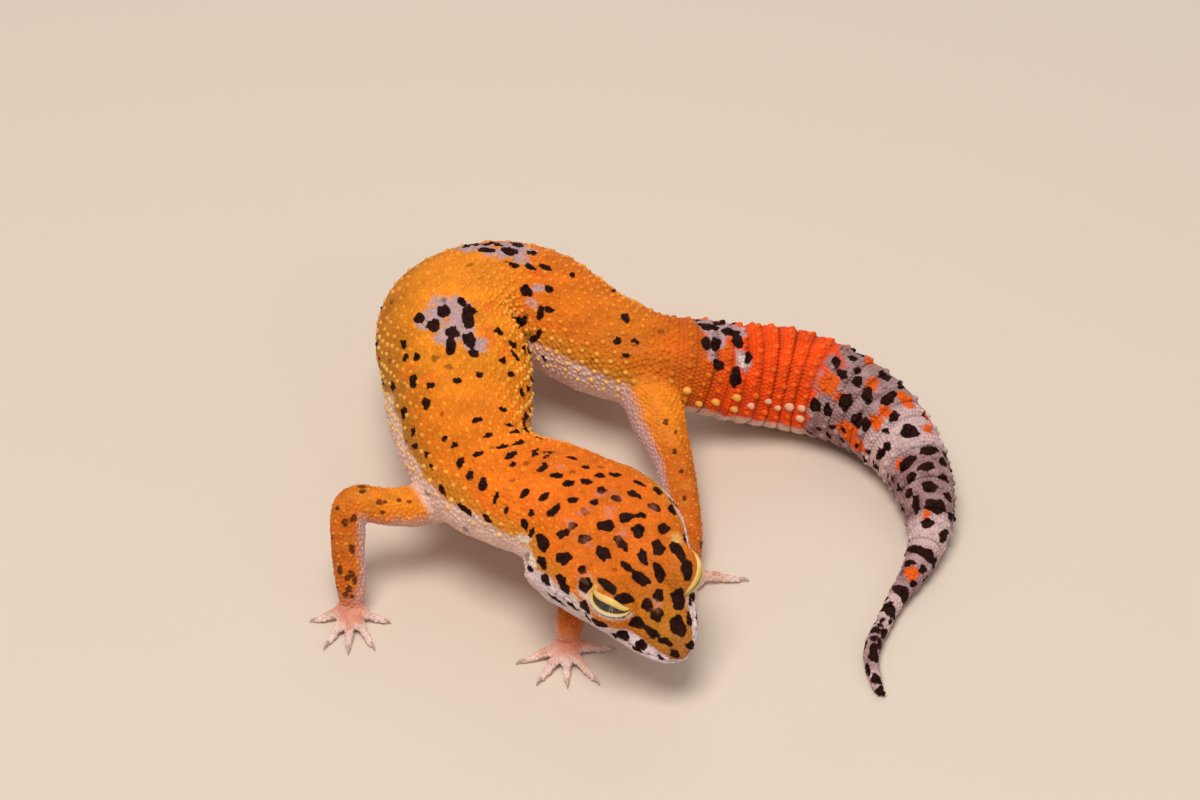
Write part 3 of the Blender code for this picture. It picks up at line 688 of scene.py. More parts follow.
# ============================================================================= the markings
# Dark spots, each as its distance from the snout tip, its place round the body from the
# middle of the back (mm, + to the animal's left), its length and width in mm, and the turn
# of its long way, in degrees from tailwards towards the left.
HEAD_SPOTS = (
    (32.6, 0, 2.2, 0.9, -80), (33, 2, 1, 0.7, -60), (30.6, -0.2, 1.8, 1, -45),
    (28.6, -0.3, 1.6, 1.1, -60), (28.6, 3.8, 1.2, 0.8, -45), (30.6, 4, 1.4, 0.8, -30),
    (26.9, 1.7, 1.6, 1.1, -45), (26.4, 4, 1.4, 1, -30), (25.4, 5.8, 1.9, 0.9, -40),
    (23.2, 7.9, 1.8, 1, -30), (22, 5.8, 2.2, 1.1, -35), (22.6, 3.2, 1.5, 1, -45),
    (24.6, 2.3, 1.5, 1.1, -60), (23.7, 0.2, 1.3, 0.9, -60), (26, -1.9, 1.5, 1.1, -45),
    (30.3, -4.1, 1.6, 1, -75), (33, -4.9, 1.5, 1.1, -75), (27.2, -4.9, 2.5, 1.1, -75),
    (30.8, -7, 1.1, 0.7, 75), (31.2, -8.8, 1.5, 1.1, 60), (28.6, -9.2, 1.6, 0.8, -75),
    (24, -9.2, 3, 1.8, 0), (22.4, -4.4, 1.3, 1.1, 0), (22.2, -6.1, 1.8, 1.4, -60),
    (19.6, -4.1, 1.8, 1.5, -60), (19.9, -0.4, 2.3, 2, -60), (16.6, -3, 2.6, 1.7, 10),
    (16.8, 0, 2.8, 1.3, 0), (17.1, 3, 2, 1.9, 0), (19.6, 2.7, 2, 1.6, -60), (18.9, 4.6, 1.6, 1.1, -60),
    (19.2, 7.2, 1.9, 1.4, -15), (21.8, 10.3, 2.6, 1.5, 45), (20.5, 12, 1.5, 0.8, 20),
    (18.4, 10, 2.6, 1.4, 30), (15.8, 6.4, 1.9, 1.6, 30), (13.6, 9, 1.8, 1.2, 30),
    (13.7, 4.1, 2.3, 1.8, 0), (13.7, 1.6, 2.2, 1.3, 0), (13.6, -1.1, 2.2, 1, -25),
    (11.4, -0.2, 3.2, 1.5, -25), (10.8, 2.5, 2.7, 1.5, 5), (6.7, 3.1, 3.2, 2.1, 10),
    (8.3, 0.9, 1.8, 1.5, 0), (7.9, -1.2, 1.9, 1.6, 0), (6.2, -0.6, 1.9, 1.9, 0), (3.6, 1.3, 2.8, 2.5, 10),
    (14.1, -7.6, 2.1, 1.8, 30), (16, -6.8, 1.5, 1, 10), (18.9, -8, 2.2, 1.9, -60),
)
# the brow and the streak from the eye to the nostril, and the blotches of the lips and cheek
FACE_SPOTS = (
    (12, 6.1, 3.2, 1.8, -5), (9.8, 5.6, 2.9, 1.8, 10), (12.1, -5.2, 3, 1.6, 10), (10, -4.2, 3, 1.6, -40),
    (6.6, -3.6, 2.2, 1.7, -10), (4.6, -2.4, 2.8, 1.1, -20), (2.6, -1.3, 2.2, 0.9, -25),
    (0.8, -0.9, 1.6, 1, -25), (12.1, -9.9, 2.1, 1.9, -45), (9.9, -8.2, 2.6, 1.5, -25),
    (11, -11.4, 3, 1.5, 40), (6.7, -6.4, 1.8, 1.7, 10), (7.7, -8.1, 1.6, 0.9, -5),
    (4.2, -4.6, 1.7, 1.4, 10), (4.3, -5.8, 1.8, 0.7, 10), (1.5, -3, 1, 0.6, -15),
    (16.8, -10.2, 1.8, 1.4, 0), (15.6, -10.7, 1.8, 1.4, -60), (20.8, -11, 2.4, 1.3, 0),
    (18.8, -12.4, 2, 1.4, 0), (14, -12.6, 1.8, 1.1, 5), (16.5, -14.5, 3, 1, 15),
    (22.6, -13.4, 1.6, 0.8, 0), (6.5, 5.5, 1.9, 1, -20), (4, 3.6, 2.3, 1, 10), (1, 2, 1.8, 1.2, 80),
    (9, 9, 1.6, 0.9, -15), (7, 7, 1.7, 1.5, 75), (4.2, 5.6, 1.6, 1, -10), (10.5, 12.2, 2.6, 1.4, -30),
    (13.5, 14, 1.7, 1.2, 10), (17.5, 15, 2.4, 1.1, -15), (20.5, 13.8, 1.8, 1.1, 0),
    (25, 12.5, 1.5, 1.1, 20),
)
NECK_SPOTS = (
    (54.2, -9.2, 2.2, 1.3, 0), (53, -5.3, 2.4, 1.2, 10), (46.8, 0.8, 1.5, 1.1, 80),
    (49.4, 5.6, 1.5, 0.9, 75), (42.6, 0.8, 1.6, 0.9, -85), (40.8, 4.6, 1.6, 0.8, -80),
    (44.2, 5.1, 1.6, 0.9, -80), (42, 7.7, 2.2, 1.2, 15), (49.5, 9.5, 1.5, 0.8, 30),
    (37.7, 2.9, 1.8, 0.9, -75), (39, 0.7, 1.6, 1, -60), (37, 0, 2.1, 1.1, -75),
    (35.9, -1.4, 1.1, 0.8, -60), (34.4, 1.7, 1.1, 0.7, -60), (34.7, 2.6, 1, 0.6, -60),
    (33.2, 3.2, 1.6, 0.8, -45), (40.7, -2.6, 1.5, 1.1, -60), (41.6, -5.2, 1.9, 1.2, 60),
    (44.2, -4.1, 1.2, 1, 45), (46, -4.7, 1.1, 0.9, 30), (39.7, -5.8, 1.7, 1.2, 60),
    (37.8, -6, 2, 1.4, 70), (35.8, -7, 1.7, 0.8, 75), (34.3, -8, 1.1, 0.7, 75), (48.2, -9, 1.2, 0.9, -30),
    (50, -8.4, 1.8, 0.7, 20), (46, -8.1, 1.2, 0.8, 10), (44.4, -8.6, 1.3, 0.7, 20),
    (41.8, -10, 1.9, 0.9, 15), (38.8, -10.5, 2.8, 1, 10), (36.2, -10.2, 2, 0.8, 30),
    (52.5, 11, 2.2, 1.1, 30), (46.5, 8.6, 1.3, 1, 20), (36.5, 6.5, 1.3, 1, 0),
)
BACK_SPOTS = (
    (71.6, -4.9, 2.3, 1.8, 0), (72.1, -1.2, 3.2, 1.8, 0), (74.4, 1.8, 2, 1.3, 0),
    (70.4, 2.1, 4.9, 1.9, 0), (72.3, 2.9, 2.2, 1.6, 0), (69.2, -3.1, 2.8, 2, -20),
    (67.2, -0.5, 2.6, 2, 0), (64.2, -0.9, 4.2, 1.5, 0), (65.3, 1.9, 3.4, 2, 0), (62.3, 2.4, 1.9, 1.4, 0),
    (67.6, -8, 2.4, 1, -10), (64.5, -7.9, 1.8, 1, 0), (63.4, -6.1, 1.7, 1.1, 0),
    (58.6, -6.8, 2.8, 1.4, 0), (56.1, -4.2, 1.5, 1.3, 0), (56, -0.3, 1.4, 1.2, 0), (57.4, 3, 1.5, 1.2, 0),
    (68.4, 6.6, 1.8, 1.3, 30), (66.8, 8.8, 2, 1.2, -30), (64.5, 9.2, 2, 1.2, -60),
    (61.9, 6.8, 1.5, 1.1, 30), (59.6, 8, 1.4, 1, 10), (57.2, 10.2, 2, 1, 10), (60.8, -10.9, 2.6, 1, -15),
    (86, -7.2, 3.2, 2.1, -30), (86.6, -3.8, 2.8, 1.8, 20), (88.8, -3, 3, 2.2, 20),
    (87.6, -5.8, 2.8, 2, 30), (89.4, -5.9, 2.8, 2, 30), (90.8, -3.6, 2, 1.4, 15),
    (93, -1.1, 2.3, 1.1, 10), (91.3, 0.2, 2.1, 1.1, 30), (89, 0.6, 2.5, 1.1, 25),
    (92.3, 4.8, 2.4, 1.5, 20), (96, 2.2, 2.1, 1, 20), (97.6, 6.2, 2.3, 1.2, 60), (98.6, 5, 1.9, 0.9, 0),
    (108.3, 0.2, 2, 1.3, 60), (108.8, 4.6, 1.3, 1.1, 0), (110.6, 3.7, 1.3, 1, 30),
    (110.2, 6.2, 1.1, 0.8, 30),
)
TAIL_SPOTS = (
    (119.4, 2.5, 2.1, 1.2, 90), (120.8, 2.4, 2.5, 1.3, 90), (121.5, 5.7, 1.6, 1.4, 60),
    (124.5, 7.2, 3.1, 1.3, 80), (124.3, 1.4, 2.3, 1.5, 70), (126.2, 4, 1.7, 0.9, 90),
    (123.2, -0.5, 2.7, 1.9, 10), (120, -1.2, 2.7, 2.1, 0), (121.8, -3.4, 2.6, 1.8, -30),
    (141.2, 0.9, 1.8, 1.1, 60), (142.6, -1.7, 1.6, 1.1, 60), (143, 2.3, 1.7, 1.2, 30),
    (144.4, 0.1, 1.3, 0.9, 60), (145.6, 1.8, 1.7, 1.4, 30), (141, 8.6, 1.9, 1.6, 60),
    (143.6, 8.2, 1.8, 1.1, 60), (146, 5.4, 2.5, 1.7, 60), (148.3, 2.4, 2.5, 1.5, 40),
    (149.8, 6.2, 2.3, 1.5, 45), (151.6, 5.6, 1.9, 1.2, 45), (150.8, 0.2, 3.3, 1.4, 80),
    (147.4, -2.8, 2.5, 1.7, 60), (149.4, -4.4, 2.1, 1.5, 60), (153.9, 1.4, 1.8, 1.2, 70),
    (157.2, 0.4, 2.5, 2.3, 60), (157.2, 6.2, 1.9, 1.1, 80), (157.4, 4.5, 1.2, 1, 0),
    (160.9, -1.2, 3.1, 1.6, 85), (162, 2.6, 3.1, 1.2, 65), (164.7, 2.6, 1.6, 1.2, 60),
    (163.6, 0, 2.3, 1.5, 85), (165.3, -2.4, 1.5, 1.1, 80), (162.6, -3.3, 1.6, 1.2, 80),
    (167, 0.1, 2, 1.6, 85), (167, 3.4, 1.4, 1.1, 45), (168, -3, 1.7, 1.3, 80), (169.6, 2.3, 3.1, 1, 0),
    (170.2, -0.7, 2.7, 2.5, 80), (170.6, -3.7, 1.6, 1.1, 60), (173.2, 0.3, 1.6, 1.4, 30),
    (173.9, -2.8, 2.5, 1.5, 20), (178, -0.6, 4.2, 1.5, -85), (180.3, 0.8, 1.5, 1, 80),
    (180.4, -1.5, 1.3, 0.9, 0), (183.2, -1.5, 1.2, 0.9, 30), (185.6, -0.8, 2.9, 1.6, -75),
    (189.5, -0.1, 2.4, 1.9, -60), (193.9, -1.2, 1.9, 1.1, 0), (194, 0.7, 1.1, 0.9, 0),
    (196.2, -1.1, 1.7, 0.8, 0), (196.6, 1.3, 1.6, 0.7, 0), (198.5, -0.4, 2.7, 1.5, 0),
    (200.8, 1, 2.2, 0.8, 0), (202.8, 0.1, 1.6, 1.2, 0), (204.7, 0, 1.3, 1.4, 0),
)
# brownish ones that have nearly faded
FAINT_SPOTS = (
    (34.6, -0.4, 1.2, 0.9, 60), (29.3, 1.7, 1, 0.8, -45), (27.5, 5.4, 1.1, 0.8, -60),
    (23.3, -1.8, 1.5, 1.1, -45), (13.8, -3, 0.9, 0.7, -30), (49.7, -3.6, 1.1, 0.8, 15),
    (40.2, -0.4, 0.9, 0.8, -30), (74.6, -0.8, 1.3, 1, 0), (59.4, -1.4, 1.5, 1.2, -45),
    (61.8, -3.3, 1.6, 1.2, 0), (97.5, 10, 1.4, 0.8, 30), (113.2, 1, 1.5, 1, 45), (35, -3.7, 1, 0.8, -45),
    (107, 8.6, 1, 0.7, 60), (44, -12.5, 1.7, 1, -45), (39.2, -14.6, 1.8, 1.1, -60),
    (50, -10.3, 1.3, 0.8, 0), (66.5, -11, 1, 0.8, 0), (76.5, -9.5, 1.2, 0.8, 0),
    (83.5, -0.7, 1.6, 0.9, 0), (182.2, 1, 1.3, 1, 0), (42.6, 10.5, 1.4, 0.9, 0),
)
# patches of another ground colour
LAVENDER_PATCHES = (
    (74.2, -1.6, 3.4, 2.6, 20), (71, -3.2, 4.4, 4, 30), (70.8, 0.5, 9, 2.2, 0), (66.8, -1.4, 5, 3, 10),
    (64.2, 2.9, 3.6, 3, 20), (73.4, 1.4, 3.4, 3, 0), (67.4, 1.4, 4, 2.6, 10), (86, -6, 5.6, 3.6, 30),
    (89.4, -4.6, 5.4, 4.6, 30), (87.6, -2.6, 5, 2.6, 20), (90, -1, 3.6, 2, 30),
    (94.2, 3.4, 1.9, 1.3, -30), (95, 5.8, 1.4, 1.1, 0), (120.8, 0.6, 4, 3, 60),
    (121.4, -2.4, 6.4, 4, -15), (125.3, 4.6, 3, 1.6, 70), (124.6, -0.8, 2.8, 2.2, 30),
    (120.4, 4.4, 1.8, 1.2, 60),
)
# where spots of the head are greyed and a little lilac shows beside them
BLOOMS = (
    (7.4, 0, 1.4, 1, 40), (21.6, 1.4, 2, 1.1, 30), (22.8, -4.4, 1.3, 1, 0), (24, 2, 2, 0.8, -60),
    (17.9, 0.6, 1.5, 0.9, 30), (23.4, -1.7, 1.4, 1, -60), (19.4, -4.2, 1.6, 0.8, 0),
    (22.4, 3.3, 1.1, 0.8, -45), (19.4, 7.2, 1.4, 0.9, 0), (15.1, -7.2, 1.3, 0.8, 0), (31, 1.6, 1, 0.7, 0),
)
WARM_PATCHES = (
    (147.4, 0.6, 2.8, 1.7, 80), (152.4, 2, 2, 1.7, 0), (152.8, 4.1, 2.2, 1.7, 0),
    (148.8, 8.8, 3.6, 2.8, 0), (151.4, 9.6, 3.2, 2.2, 0), (161.6, 3.7, 1.8, 1.3, 0),
    (171.8, 0.6, 1.5, 1, 0), (152, -2.2, 3.2, 2.4, 0), (157.3, -2.8, 1.7, 1.3, 0),
    (144.6, 5.4, 1.5, 1.1, 0), (182, -0.4, 2.5, 1.9, 0), (142, 4.6, 3, 3, 0),
    (144.5, -4.4, 2.8, 1.6, -60), (155, -4.4, 2, 1.4, 0),
)
# white and cream scales by the corner of the mouth, the ear and the eye
CREAM_PATCHES = (
    (29.8, -10.8, 2.4, 1.5, 0), (27, -12, 2.2, 1.2, 0), (23.5, -12.2, 2.4, 1, 0),
    (13.6, -11, 2.4, 1.4, 30), (125.4, 4.7, 1.8, 1.2, 70),
)
# redder places of the back
RED_PATCHES = (
    (66.8, 4.9, 5.4, 2.6, 15), (64.2, 7.2, 5, 2.2, 15), (57.4, -4.6, 3, 2, 0), (61.4, -7.6, 3.4, 2, 0),
    (91.2, -0.6, 2.8, 1.6, 20), (92.4, 1.2, 2.4, 1.4, 30), (36.5, -8.4, 5, 2, 20), (31.5, -6.2, 3, 2, 0),
    (75.4, 6.2, 3, 2, 30), (122.8, 2.8, 2.2, 1.8, 0), (115.6, 3, 4, 3, 0),
)
# Stretches of the far sides, where spots are strewn by rule: the distances and places round
# the body between which they lie, how far apart they are, and their mean width.
STREWN = (
    (35, 52, 9.5, 17, 3.0, 1.1), (54, 84, 12, 18, 3.3, 1.2), (92, 100, 9.5, 12.5, 3.6, 0.9),
    (141, 170, -8.5, -4, 2.7, 1.6), (117, 126, -8, -4, 2.6, 1.6), (153, 168, 2.5, 7.5, 2.9, 1.1),
    (60, 84, -19, -12.5, 3.4, 1.3), (84, 116, -18, -11, 3.4, 1.3), (93, 106, -9.5, -2, 4.6, 1.1),
    (142, 160, -16, -8, 2.6, 1.4), (142, 160, 8.5, 15, 3.0, 1.2), (160, 176, -10, -6.5, 2.4, 1.2),
    (158, 176, 6, 9, 2.6, 1.1), (176, 196, -6, -2.8, 2.3, 1.0), (176, 196, 3, 5.5, 2.4, 0.9),
)
BODY_SPOTS = HEAD_SPOTS + FACE_SPOTS + NECK_SPOTS + BACK_SPOTS
LIMB_SPOTS = {"front_right": 34, "front_left": 9, "hind_left": 12, "hind_right": 16}

ROUND = np.radians(np.linspace(-90, 270, 181))     # t from the belly over the left and the back
ROW_STEP = 0.5
ROWS = np.arange(ROW_STEP, TOTAL_LENGTH, ROW_STEP)
CHUNK = 8000               # points compared with a whole line at one time
LIMB_STEPS = 40            # points of each limb's line that the skin is compared with


def section_tables():
    """For each of ROWS: the sections' middles, and round them each angle of view, the radius
    there and the distance along the skin from the middle of the back."""
    x, z = body_section(ROWS, ROUND, -SKIN_INSET)
    middle_x = (x.max(1) + x.min(1)) / 2
    middle_z = (z.max(1) + z.min(1)) / 2
    dx, dz = x - middle_x[:, None], z - middle_z[:, None]
    view = np.unwrap(np.arctan2(dz, dx), axis=1)
    view = np.maximum.accumulate(view, axis=1)
    steps = np.hypot(np.diff(x, axis=1), np.diff(z, axis=1))
    run = np.concatenate([np.zeros((len(ROWS), 1)), np.cumsum(steps, 1)], 1)
    top = len(ROUND) // 2
    return middle_x, middle_z, view, np.hypot(dx, dz), run[:, top:top + 1] - run


SECTIONS = section_tables()


def row_at(s):
    """The number of the row of ROWS nearest to each distance."""
    return np.clip(np.round((s - ROWS[0]) / ROW_STEP).astype(int), 0, len(ROWS) - 1)


def along_spine(points, guess=None):
    """Each point's distance along the spine, and how far it lies across and up from it.

    It starts from the nearest of the spine's points, or from a guess, and slides along the
    spine's direction to where the point is square to it."""
    if guess is None:
        guess = np.empty(len(points))
        coarse = SPINE_POINTS[::2]
        for start in range(0, len(points), CHUNK):
            part = points[start:start + CHUNK, None] - coarse[None]
            nearest = np.einsum("ijk,ijk->ij", part, part).argmin(1)
            guess[start:start + CHUNK] = SPINE_AT[::2][nearest]
    s = guess.copy()
    for _ in range(3):
        centre, left, up = spine_frames(s)
        behind = np.einsum("ij,ij->i", points - centre, -np.cross(left, up))
        s = np.clip(s + 0.8 * behind, guess - 3, guess + 3)
        s = np.clip(s, 0, TOTAL_LENGTH)
    centre, left, up = spine_frames(s)
    away = points - centre
    return s, np.einsum("ij,ij->i", away, left), np.einsum("ij,ij->i", away, up)


def around_body(s, x, z):
    """Each point's angle t round the section, its distance round the skin from the middle of
    the back, and how far it stands out of the smooth body."""
    middle_x, middle_z, view, radius, run = SECTIONS
    row = row_at(s)
    dx, dz = x - middle_x[row], z - middle_z[row]
    angle = (np.arctan2(dz, dx) + math.pi / 2) % (2 * math.pi) - math.pi / 2
    t, w, out = (np.empty(len(s)) for _ in range(3))
    order = np.argsort(row, kind="stable")
    starts = np.searchsorted(row[order], np.arange(len(ROWS) + 1))
    for number in range(len(ROWS)):
        here = order[starts[number]:starts[number + 1]]
        if len(here):
            seen = view[number] - 2 * math.pi * (view[number][0] > 0)
            t[here] = np.interp(angle[here], seen, ROUND)
            w[here] = np.interp(angle[here], seen, run[number])
            out[here] = np.hypot(dx, dz)[here] - np.interp(angle[here], seen, radius[number])
    return t, w, out


def on_body(s, w):
    """Points of the body's skin at distances s and places w round it, with unit vectors
    tailwards and to the left there."""
    s, w = np.array(s, float), np.array(w, float)
    rings = [body_points(s + shift, ROUND, -SKIN_INSET) for shift in (-0.3, 0, 0.3)]
    steps = np.arange(len(ROUND))
    here = np.array([np.interp(-place, -run, steps) for place, run in zip(w, SECTIONS[4][row_at(s)])])
    low = np.clip(here.astype(int), 0, len(ROUND) - 2)
    share = (here - low)[:, None]
    rows = np.arange(len(s))
    before, point, after = (r[rows, low] * (1 - share) + r[rows, low + 1] * share for r in rings)
    tailwards = unit(after - before)
    round_it = unit(rings[1][rows, low] - rings[1][rows, low + 1])
    outwards = unit(np.cross(round_it, tailwards))
    leftwards = np.cross(tailwards, outwards)
    return point, tailwards, leftwards


def body_places(points, guess=None):
    """Each point's distance along the spine, angle and distance round the body, and how far
    it stands out of the smooth body."""
    s, x, z = along_spine(points, guess)
    return s, *around_body(s, x, z)


def strewn_spots():
    """Spots for the far sides: a lattice of even rows, jittered, kept apart from the others."""
    chance = np.random.default_rng(4)
    known = np.array(BODY_SPOTS + TAIL_SPOTS, float)
    rows = []
    for first, last, low, high, apart, width in STREWN:
        s, w = np.meshgrid(np.arange(first, last, apart), np.arange(low, high, apart), indexing="ij")
        w = w + (np.arange(len(s)) % 2)[:, None] * apart / 2
        s = (s + chance.normal(0, 0.22 * apart, s.shape)).ravel()
        w = (w + chance.normal(0, 0.18 * apart, w.shape)).ravel()
        size = width * chance.uniform(0.75, 1.3, len(s))
        slim = chance.uniform(0.6, 0.95, len(s))
        turn = chance.uniform(-80, 80, len(s))
        gap = np.hypot(s[:, None] - known[:, 0], w[:, None] - known[:, 1]).min(1)
        made = np.column_stack([s, w, size * 1.15, size * slim, turn])
        rows.append(made[gap > 0.8 * apart])
    return np.concatenate(rows)


# how far a spot's dark reaches past the size in its table, mm: on the body and on the tail
SPOT_RIM = 0.05
TAIL_RIM = 0.16


def ellipses(table, rim=0.0):
    """A table's spots as middles, long and short ways and half sizes."""
    rows = np.array(table, float)
    point, tailwards, leftwards = on_body(rows[:, 0], rows[:, 1])
    turn = np.radians(rows[:, 4])[:, None]
    long_way = np.cos(turn) * tailwards + np.sin(turn) * leftwards
    short_way = np.cos(turn) * leftwards - np.sin(turn) * tailwards
    return point, long_way, short_way, rows[:, 2:4] / 2 + rim


def limb_ellipses():
    """Small brown spots on the limbs, at seeded places round and along each middle line."""
    chance = np.random.default_rng(11)
    parts = []
    for name, count in LIMB_SPOTS.items():
        line = limb_line(LIMBS[name], 60)
        share = (np.arange(count) + chance.uniform(0, 1, count)) / count
        index = np.round(12 + 40 * share).astype(int)
        ahead = unit(np.gradient(line[:, :3], axis=0))[index]
        inner = np.array(LIMBS[name]["inner"])
        outer = unit(-inner + ahead * (ahead @ inner)[:, None])
        other = np.cross(ahead, outer)
        angle = chance.uniform(-1.7, 1.7, count)[:, None]
        out = np.cos(angle) * outer + np.sin(angle) * other
        size = chance.uniform(0.28, 0.52, count)
        half = np.column_stack([size * 1.25, size])
        parts.append((line[index, :3] + out * line[index, 3:], ahead, np.cross(out, ahead), half))
    return tuple(np.concatenate(part) for part in zip(*parts))


def nearest_edge(points, spots, seed=0):
    """Distance in mm from each point to the nearest of the spots' edges, negative inside.

    A spot is an ellipse whose outline wavers by a few sines of the angle round its middle."""
    chance = np.random.default_rng(seed)
    best = np.full(len(points), 3.0)
    for middle, long_way, short_way, half in zip(*spots):
        away = points - middle
        close = np.flatnonzero(np.einsum("ij,ij->i", away, away) < (half[0] + 2.2) ** 2)
        phases = chance.uniform(0, 2 * math.pi, 3)
        if not len(close):
            continue
        a, b = away[close] @ long_way, away[close] @ short_way
        angle = np.arctan2(b / half[1], a / half[0])
        waver = 1 + 0.09 * np.sin(2 * angle + phases[0]) + 0.09 * np.sin(3 * angle + phases[1])
        waver += 0.07 * np.sin(5 * angle + phases[2])
        a, b = a / waver, b / waver
        inside = np.hypot(a / half[0], b / half[1])
        slope = np.maximum(np.hypot(a / half[0] ** 2, b / half[1] ** 2), 1e-4)
        gap = np.where(inside < 0.05, -half[1], inside * (inside - 1) / slope)
        best[close] = np.minimum(best[close], gap)
    return best


def mottle(points, size, seed=0):
    """A soft random field from -1 to 1 with patches about `size` mm across: the mean of
    waves in eight seeded directions, each bent by another."""
    chance = np.random.default_rng(seed)
    ways = unit(chance.normal(size=(8, 3))) * chance.uniform(0.8, 1.4, (8, 1)) * math.pi / size
    phases = chance.uniform(0, 2 * math.pi, 8)
    waves = points @ ways.T + phases
    bent = np.sin(waves + 0.9 * np.sin(np.roll(waves, 1, 1) * 0.7))
    return np.clip(bent.mean(1) * 2.2, -1, 1)


# ----------------------------------------------------------------------------- the grounds
# Distance from the snout tip, then the colour of the back there.
BACK_COLOURS = (
    (0, 0.34, 0.11, 0.030), (4, 0.52, 0.165, 0.012), (9, 0.60, 0.155, 0.008), (14, 0.70, 0.15, 0.006),
    (24, 0.78, 0.155, 0.006), (36, 0.88, 0.19, 0.007), (50, 0.84, 0.215, 0.008), (66, 0.86, 0.275, 0.012),
    (84, 0.88, 0.275, 0.014), (95, 0.76, 0.17, 0.008), (108, 0.70, 0.175, 0.008),
    (118, 0.66, 0.125, 0.006), (126, 0.93, 0.080, 0.004), (142, 0.93, 0.080, 0.005),
)
# Distance from the snout tip, then how many degrees above the body's widest level the pale
# belly starts, on its left and on its right.
BELLY_EDGE = (
    (0, 26, 26), (5, 17, 17), (10, 9, 9), (16, 8, 9), (22, 3, 5), (28, 0, 5), (34, -2, 10), (40, 0, 15),
    (50, 0, 19), (58, -4, 21), (64, -5, 3), (75, -4, -14), (85, 1, -20), (95, 9, -23), (103, 13, -22),
    (110, 7, -16), (118, -22, -30), (205, -30, -34),
)
FLANK_YELLOW = (0.62, 0.27, 0.026)
LIP_PALE = (0.76, 0.59, 0.60)
BELLY_PALE = (0.84, 0.57, 0.48)
LAVENDER = (0.50, 0.35, 0.38)
CREAM = (0.84, 0.72, 0.58)
TAIL_PALE = (0.72, 0.50, 0.49)
TAIL_DUSK = (0.27, 0.13, 0.13)
WARM = (0.82, 0.12, 0.007)
RED = (0.84, 0.145, 0.008)
LIMB_ROOT = (0.90, 0.26, 0.014)
ARM_ORANGE = (0.64, 0.135, 0.009)
WRIST_PINK = (0.76, 0.33, 0.24)
TOE_PALE = (0.90, 0.69, 0.62)
INNER_PINK = (0.66, 0.42, 0.40)
LID_YELLOW = (0.84, 0.55, 0.17)
FURROW_ORANGE = (0.60, 0.19, 0.02)
UNDER_LID = (0.70, 0.58, 0.48)
TAIL_PALE_FROM = (139.5, 142.0)
# Distance from the snout tip, then how dusky the tail's pale ground is there: its bands.
TAIL_BANDS = (
    (139, 0.85), (151, 0.8), (154.5, 0.1), (159, 0.15), (161.5, 0.9), (170.5, 0.9), (172.5, 0.1),
    (176, 0.1), (178.5, 0.8), (185, 0.8), (187, 0.1), (192.5, 0.1), (194, 0.75), (201, 0.75),
    (202.5, 0.2), (205, 0.5),
)

BODY_MARKS = ellipses(BODY_SPOTS, SPOT_RIM)
TAIL_MARKS = ellipses(TAIL_SPOTS, TAIL_RIM)
STREWN_SPOTS = ellipses(strewn_spots())
FADED_SPOTS = ellipses(FAINT_SPOTS)
BROWN_SPOTS = limb_ellipses()
# Each kind of patch: its places and the seed of its outlines, how uneven its edges are and
# the size and seed of their bumps, and the distances from the edge between which it fades.
PATCH_KINDS = {
    "red": (ellipses(RED_PATCHES), 24, 0.4, 1.3, 11, (-0.6, 0.7)),
    "lavender": (ellipses(LAVENDER_PATCHES), 21, 0.25, 0.8, 4, (-0.25, 0.45)),
    "bloom": (ellipses(BLOOMS), 23, 0.5, 0.7, 10, (-0.5, 0.5)),
    "warm": (ellipses(WARM_PATCHES), 22, 0.2, 0.9, 7, (0.0, 0.35)),
    "cream": (ellipses(CREAM_PATCHES), 25, 0.3, 0.8, 12, (-0.2, 0.4)),
}


def mixed(base, colour, share):
    """The base colours moved towards another by each point's share."""
    return base + (np.array(colour) - base) * share[:, None]


def in_patches(points, kind):
    """1 inside one kind's patches, falling to 0 over their uneven edges."""
    spots, seed, uneven, size, bumps, ends = PATCH_KINDS[kind]
    return 1 - fade(nearest_edge(points, spots, seed) + uneven * mottle(points, size, bumps), *ends)


def nearest_limb(points):
    """For each point, its nearest limb's number, the share of that limb's line it is at, and
    its distance outside the limb's tube."""
    lines = [limb_line(limb, LIMB_STEPS) for limb in LIMBS.values()]
    stacked = np.concatenate(lines)
    number = np.empty(len(points), int)
    gap = np.empty(len(points))
    for start in range(0, len(points), CHUNK):
        away = np.linalg.norm(points[start:start + CHUNK, None] - stacked[None, :, :3], axis=2)
        away -= stacked[None, :, 3]
        number[start:start + CHUNK] = away.argmin(1)
        gap[start:start + CHUNK] = away.min(1)
    return number // LIMB_STEPS, number % LIMB_STEPS / (LIMB_STEPS - 1), gap


def limb_share(points, out):
    """How much each point belongs to a limb, from 0 on the body to 1 on the limb: it grows
    with the distance outside the smooth body, where a limb or foot is near."""
    number, share, gap = nearest_limb(points)
    near = 1 - fade(gap, 1.0, 3.0)
    near = np.where((points[:, 2] < 5.5) & (share > 0.6) & (gap < 12), 1.0, near)
    return fade(out, 0.15, 1.7) * near, number, share


def lid_tints(points, ground, side):
    """The ground colours with the yellow behind the eye, the orange furrow over its upper lid
    and the white under its lower one."""
    middle, axes = eye_frame(side)
    away = points - middle
    distance = np.linalg.norm(away, axis=1)
    lon, lat = lid_angles(away / distance[:, None], axes)
    lower, upper = lid_edges(lon, side)
    near = 1 - fade(distance, EYE_RADIUS + 1.6, EYE_RADIUS + 2.6)
    near = near * fade(lon, -86, -70) * (1 - fade(lon, 108, 122))
    ground = mixed(ground, LID_YELLOW, 0.75 * near * bump(lon + 60, 13) * bump(lat - 36, 17))
    ground = mixed(ground, FURROW_ORANGE, 0.6 * near * bump(lat - upper - 21, 5))
    under = bump(lat - lower + 12, 6) * (lat > lower - 30)
    return mixed(ground, UNDER_LID, 0.8 * near * under)


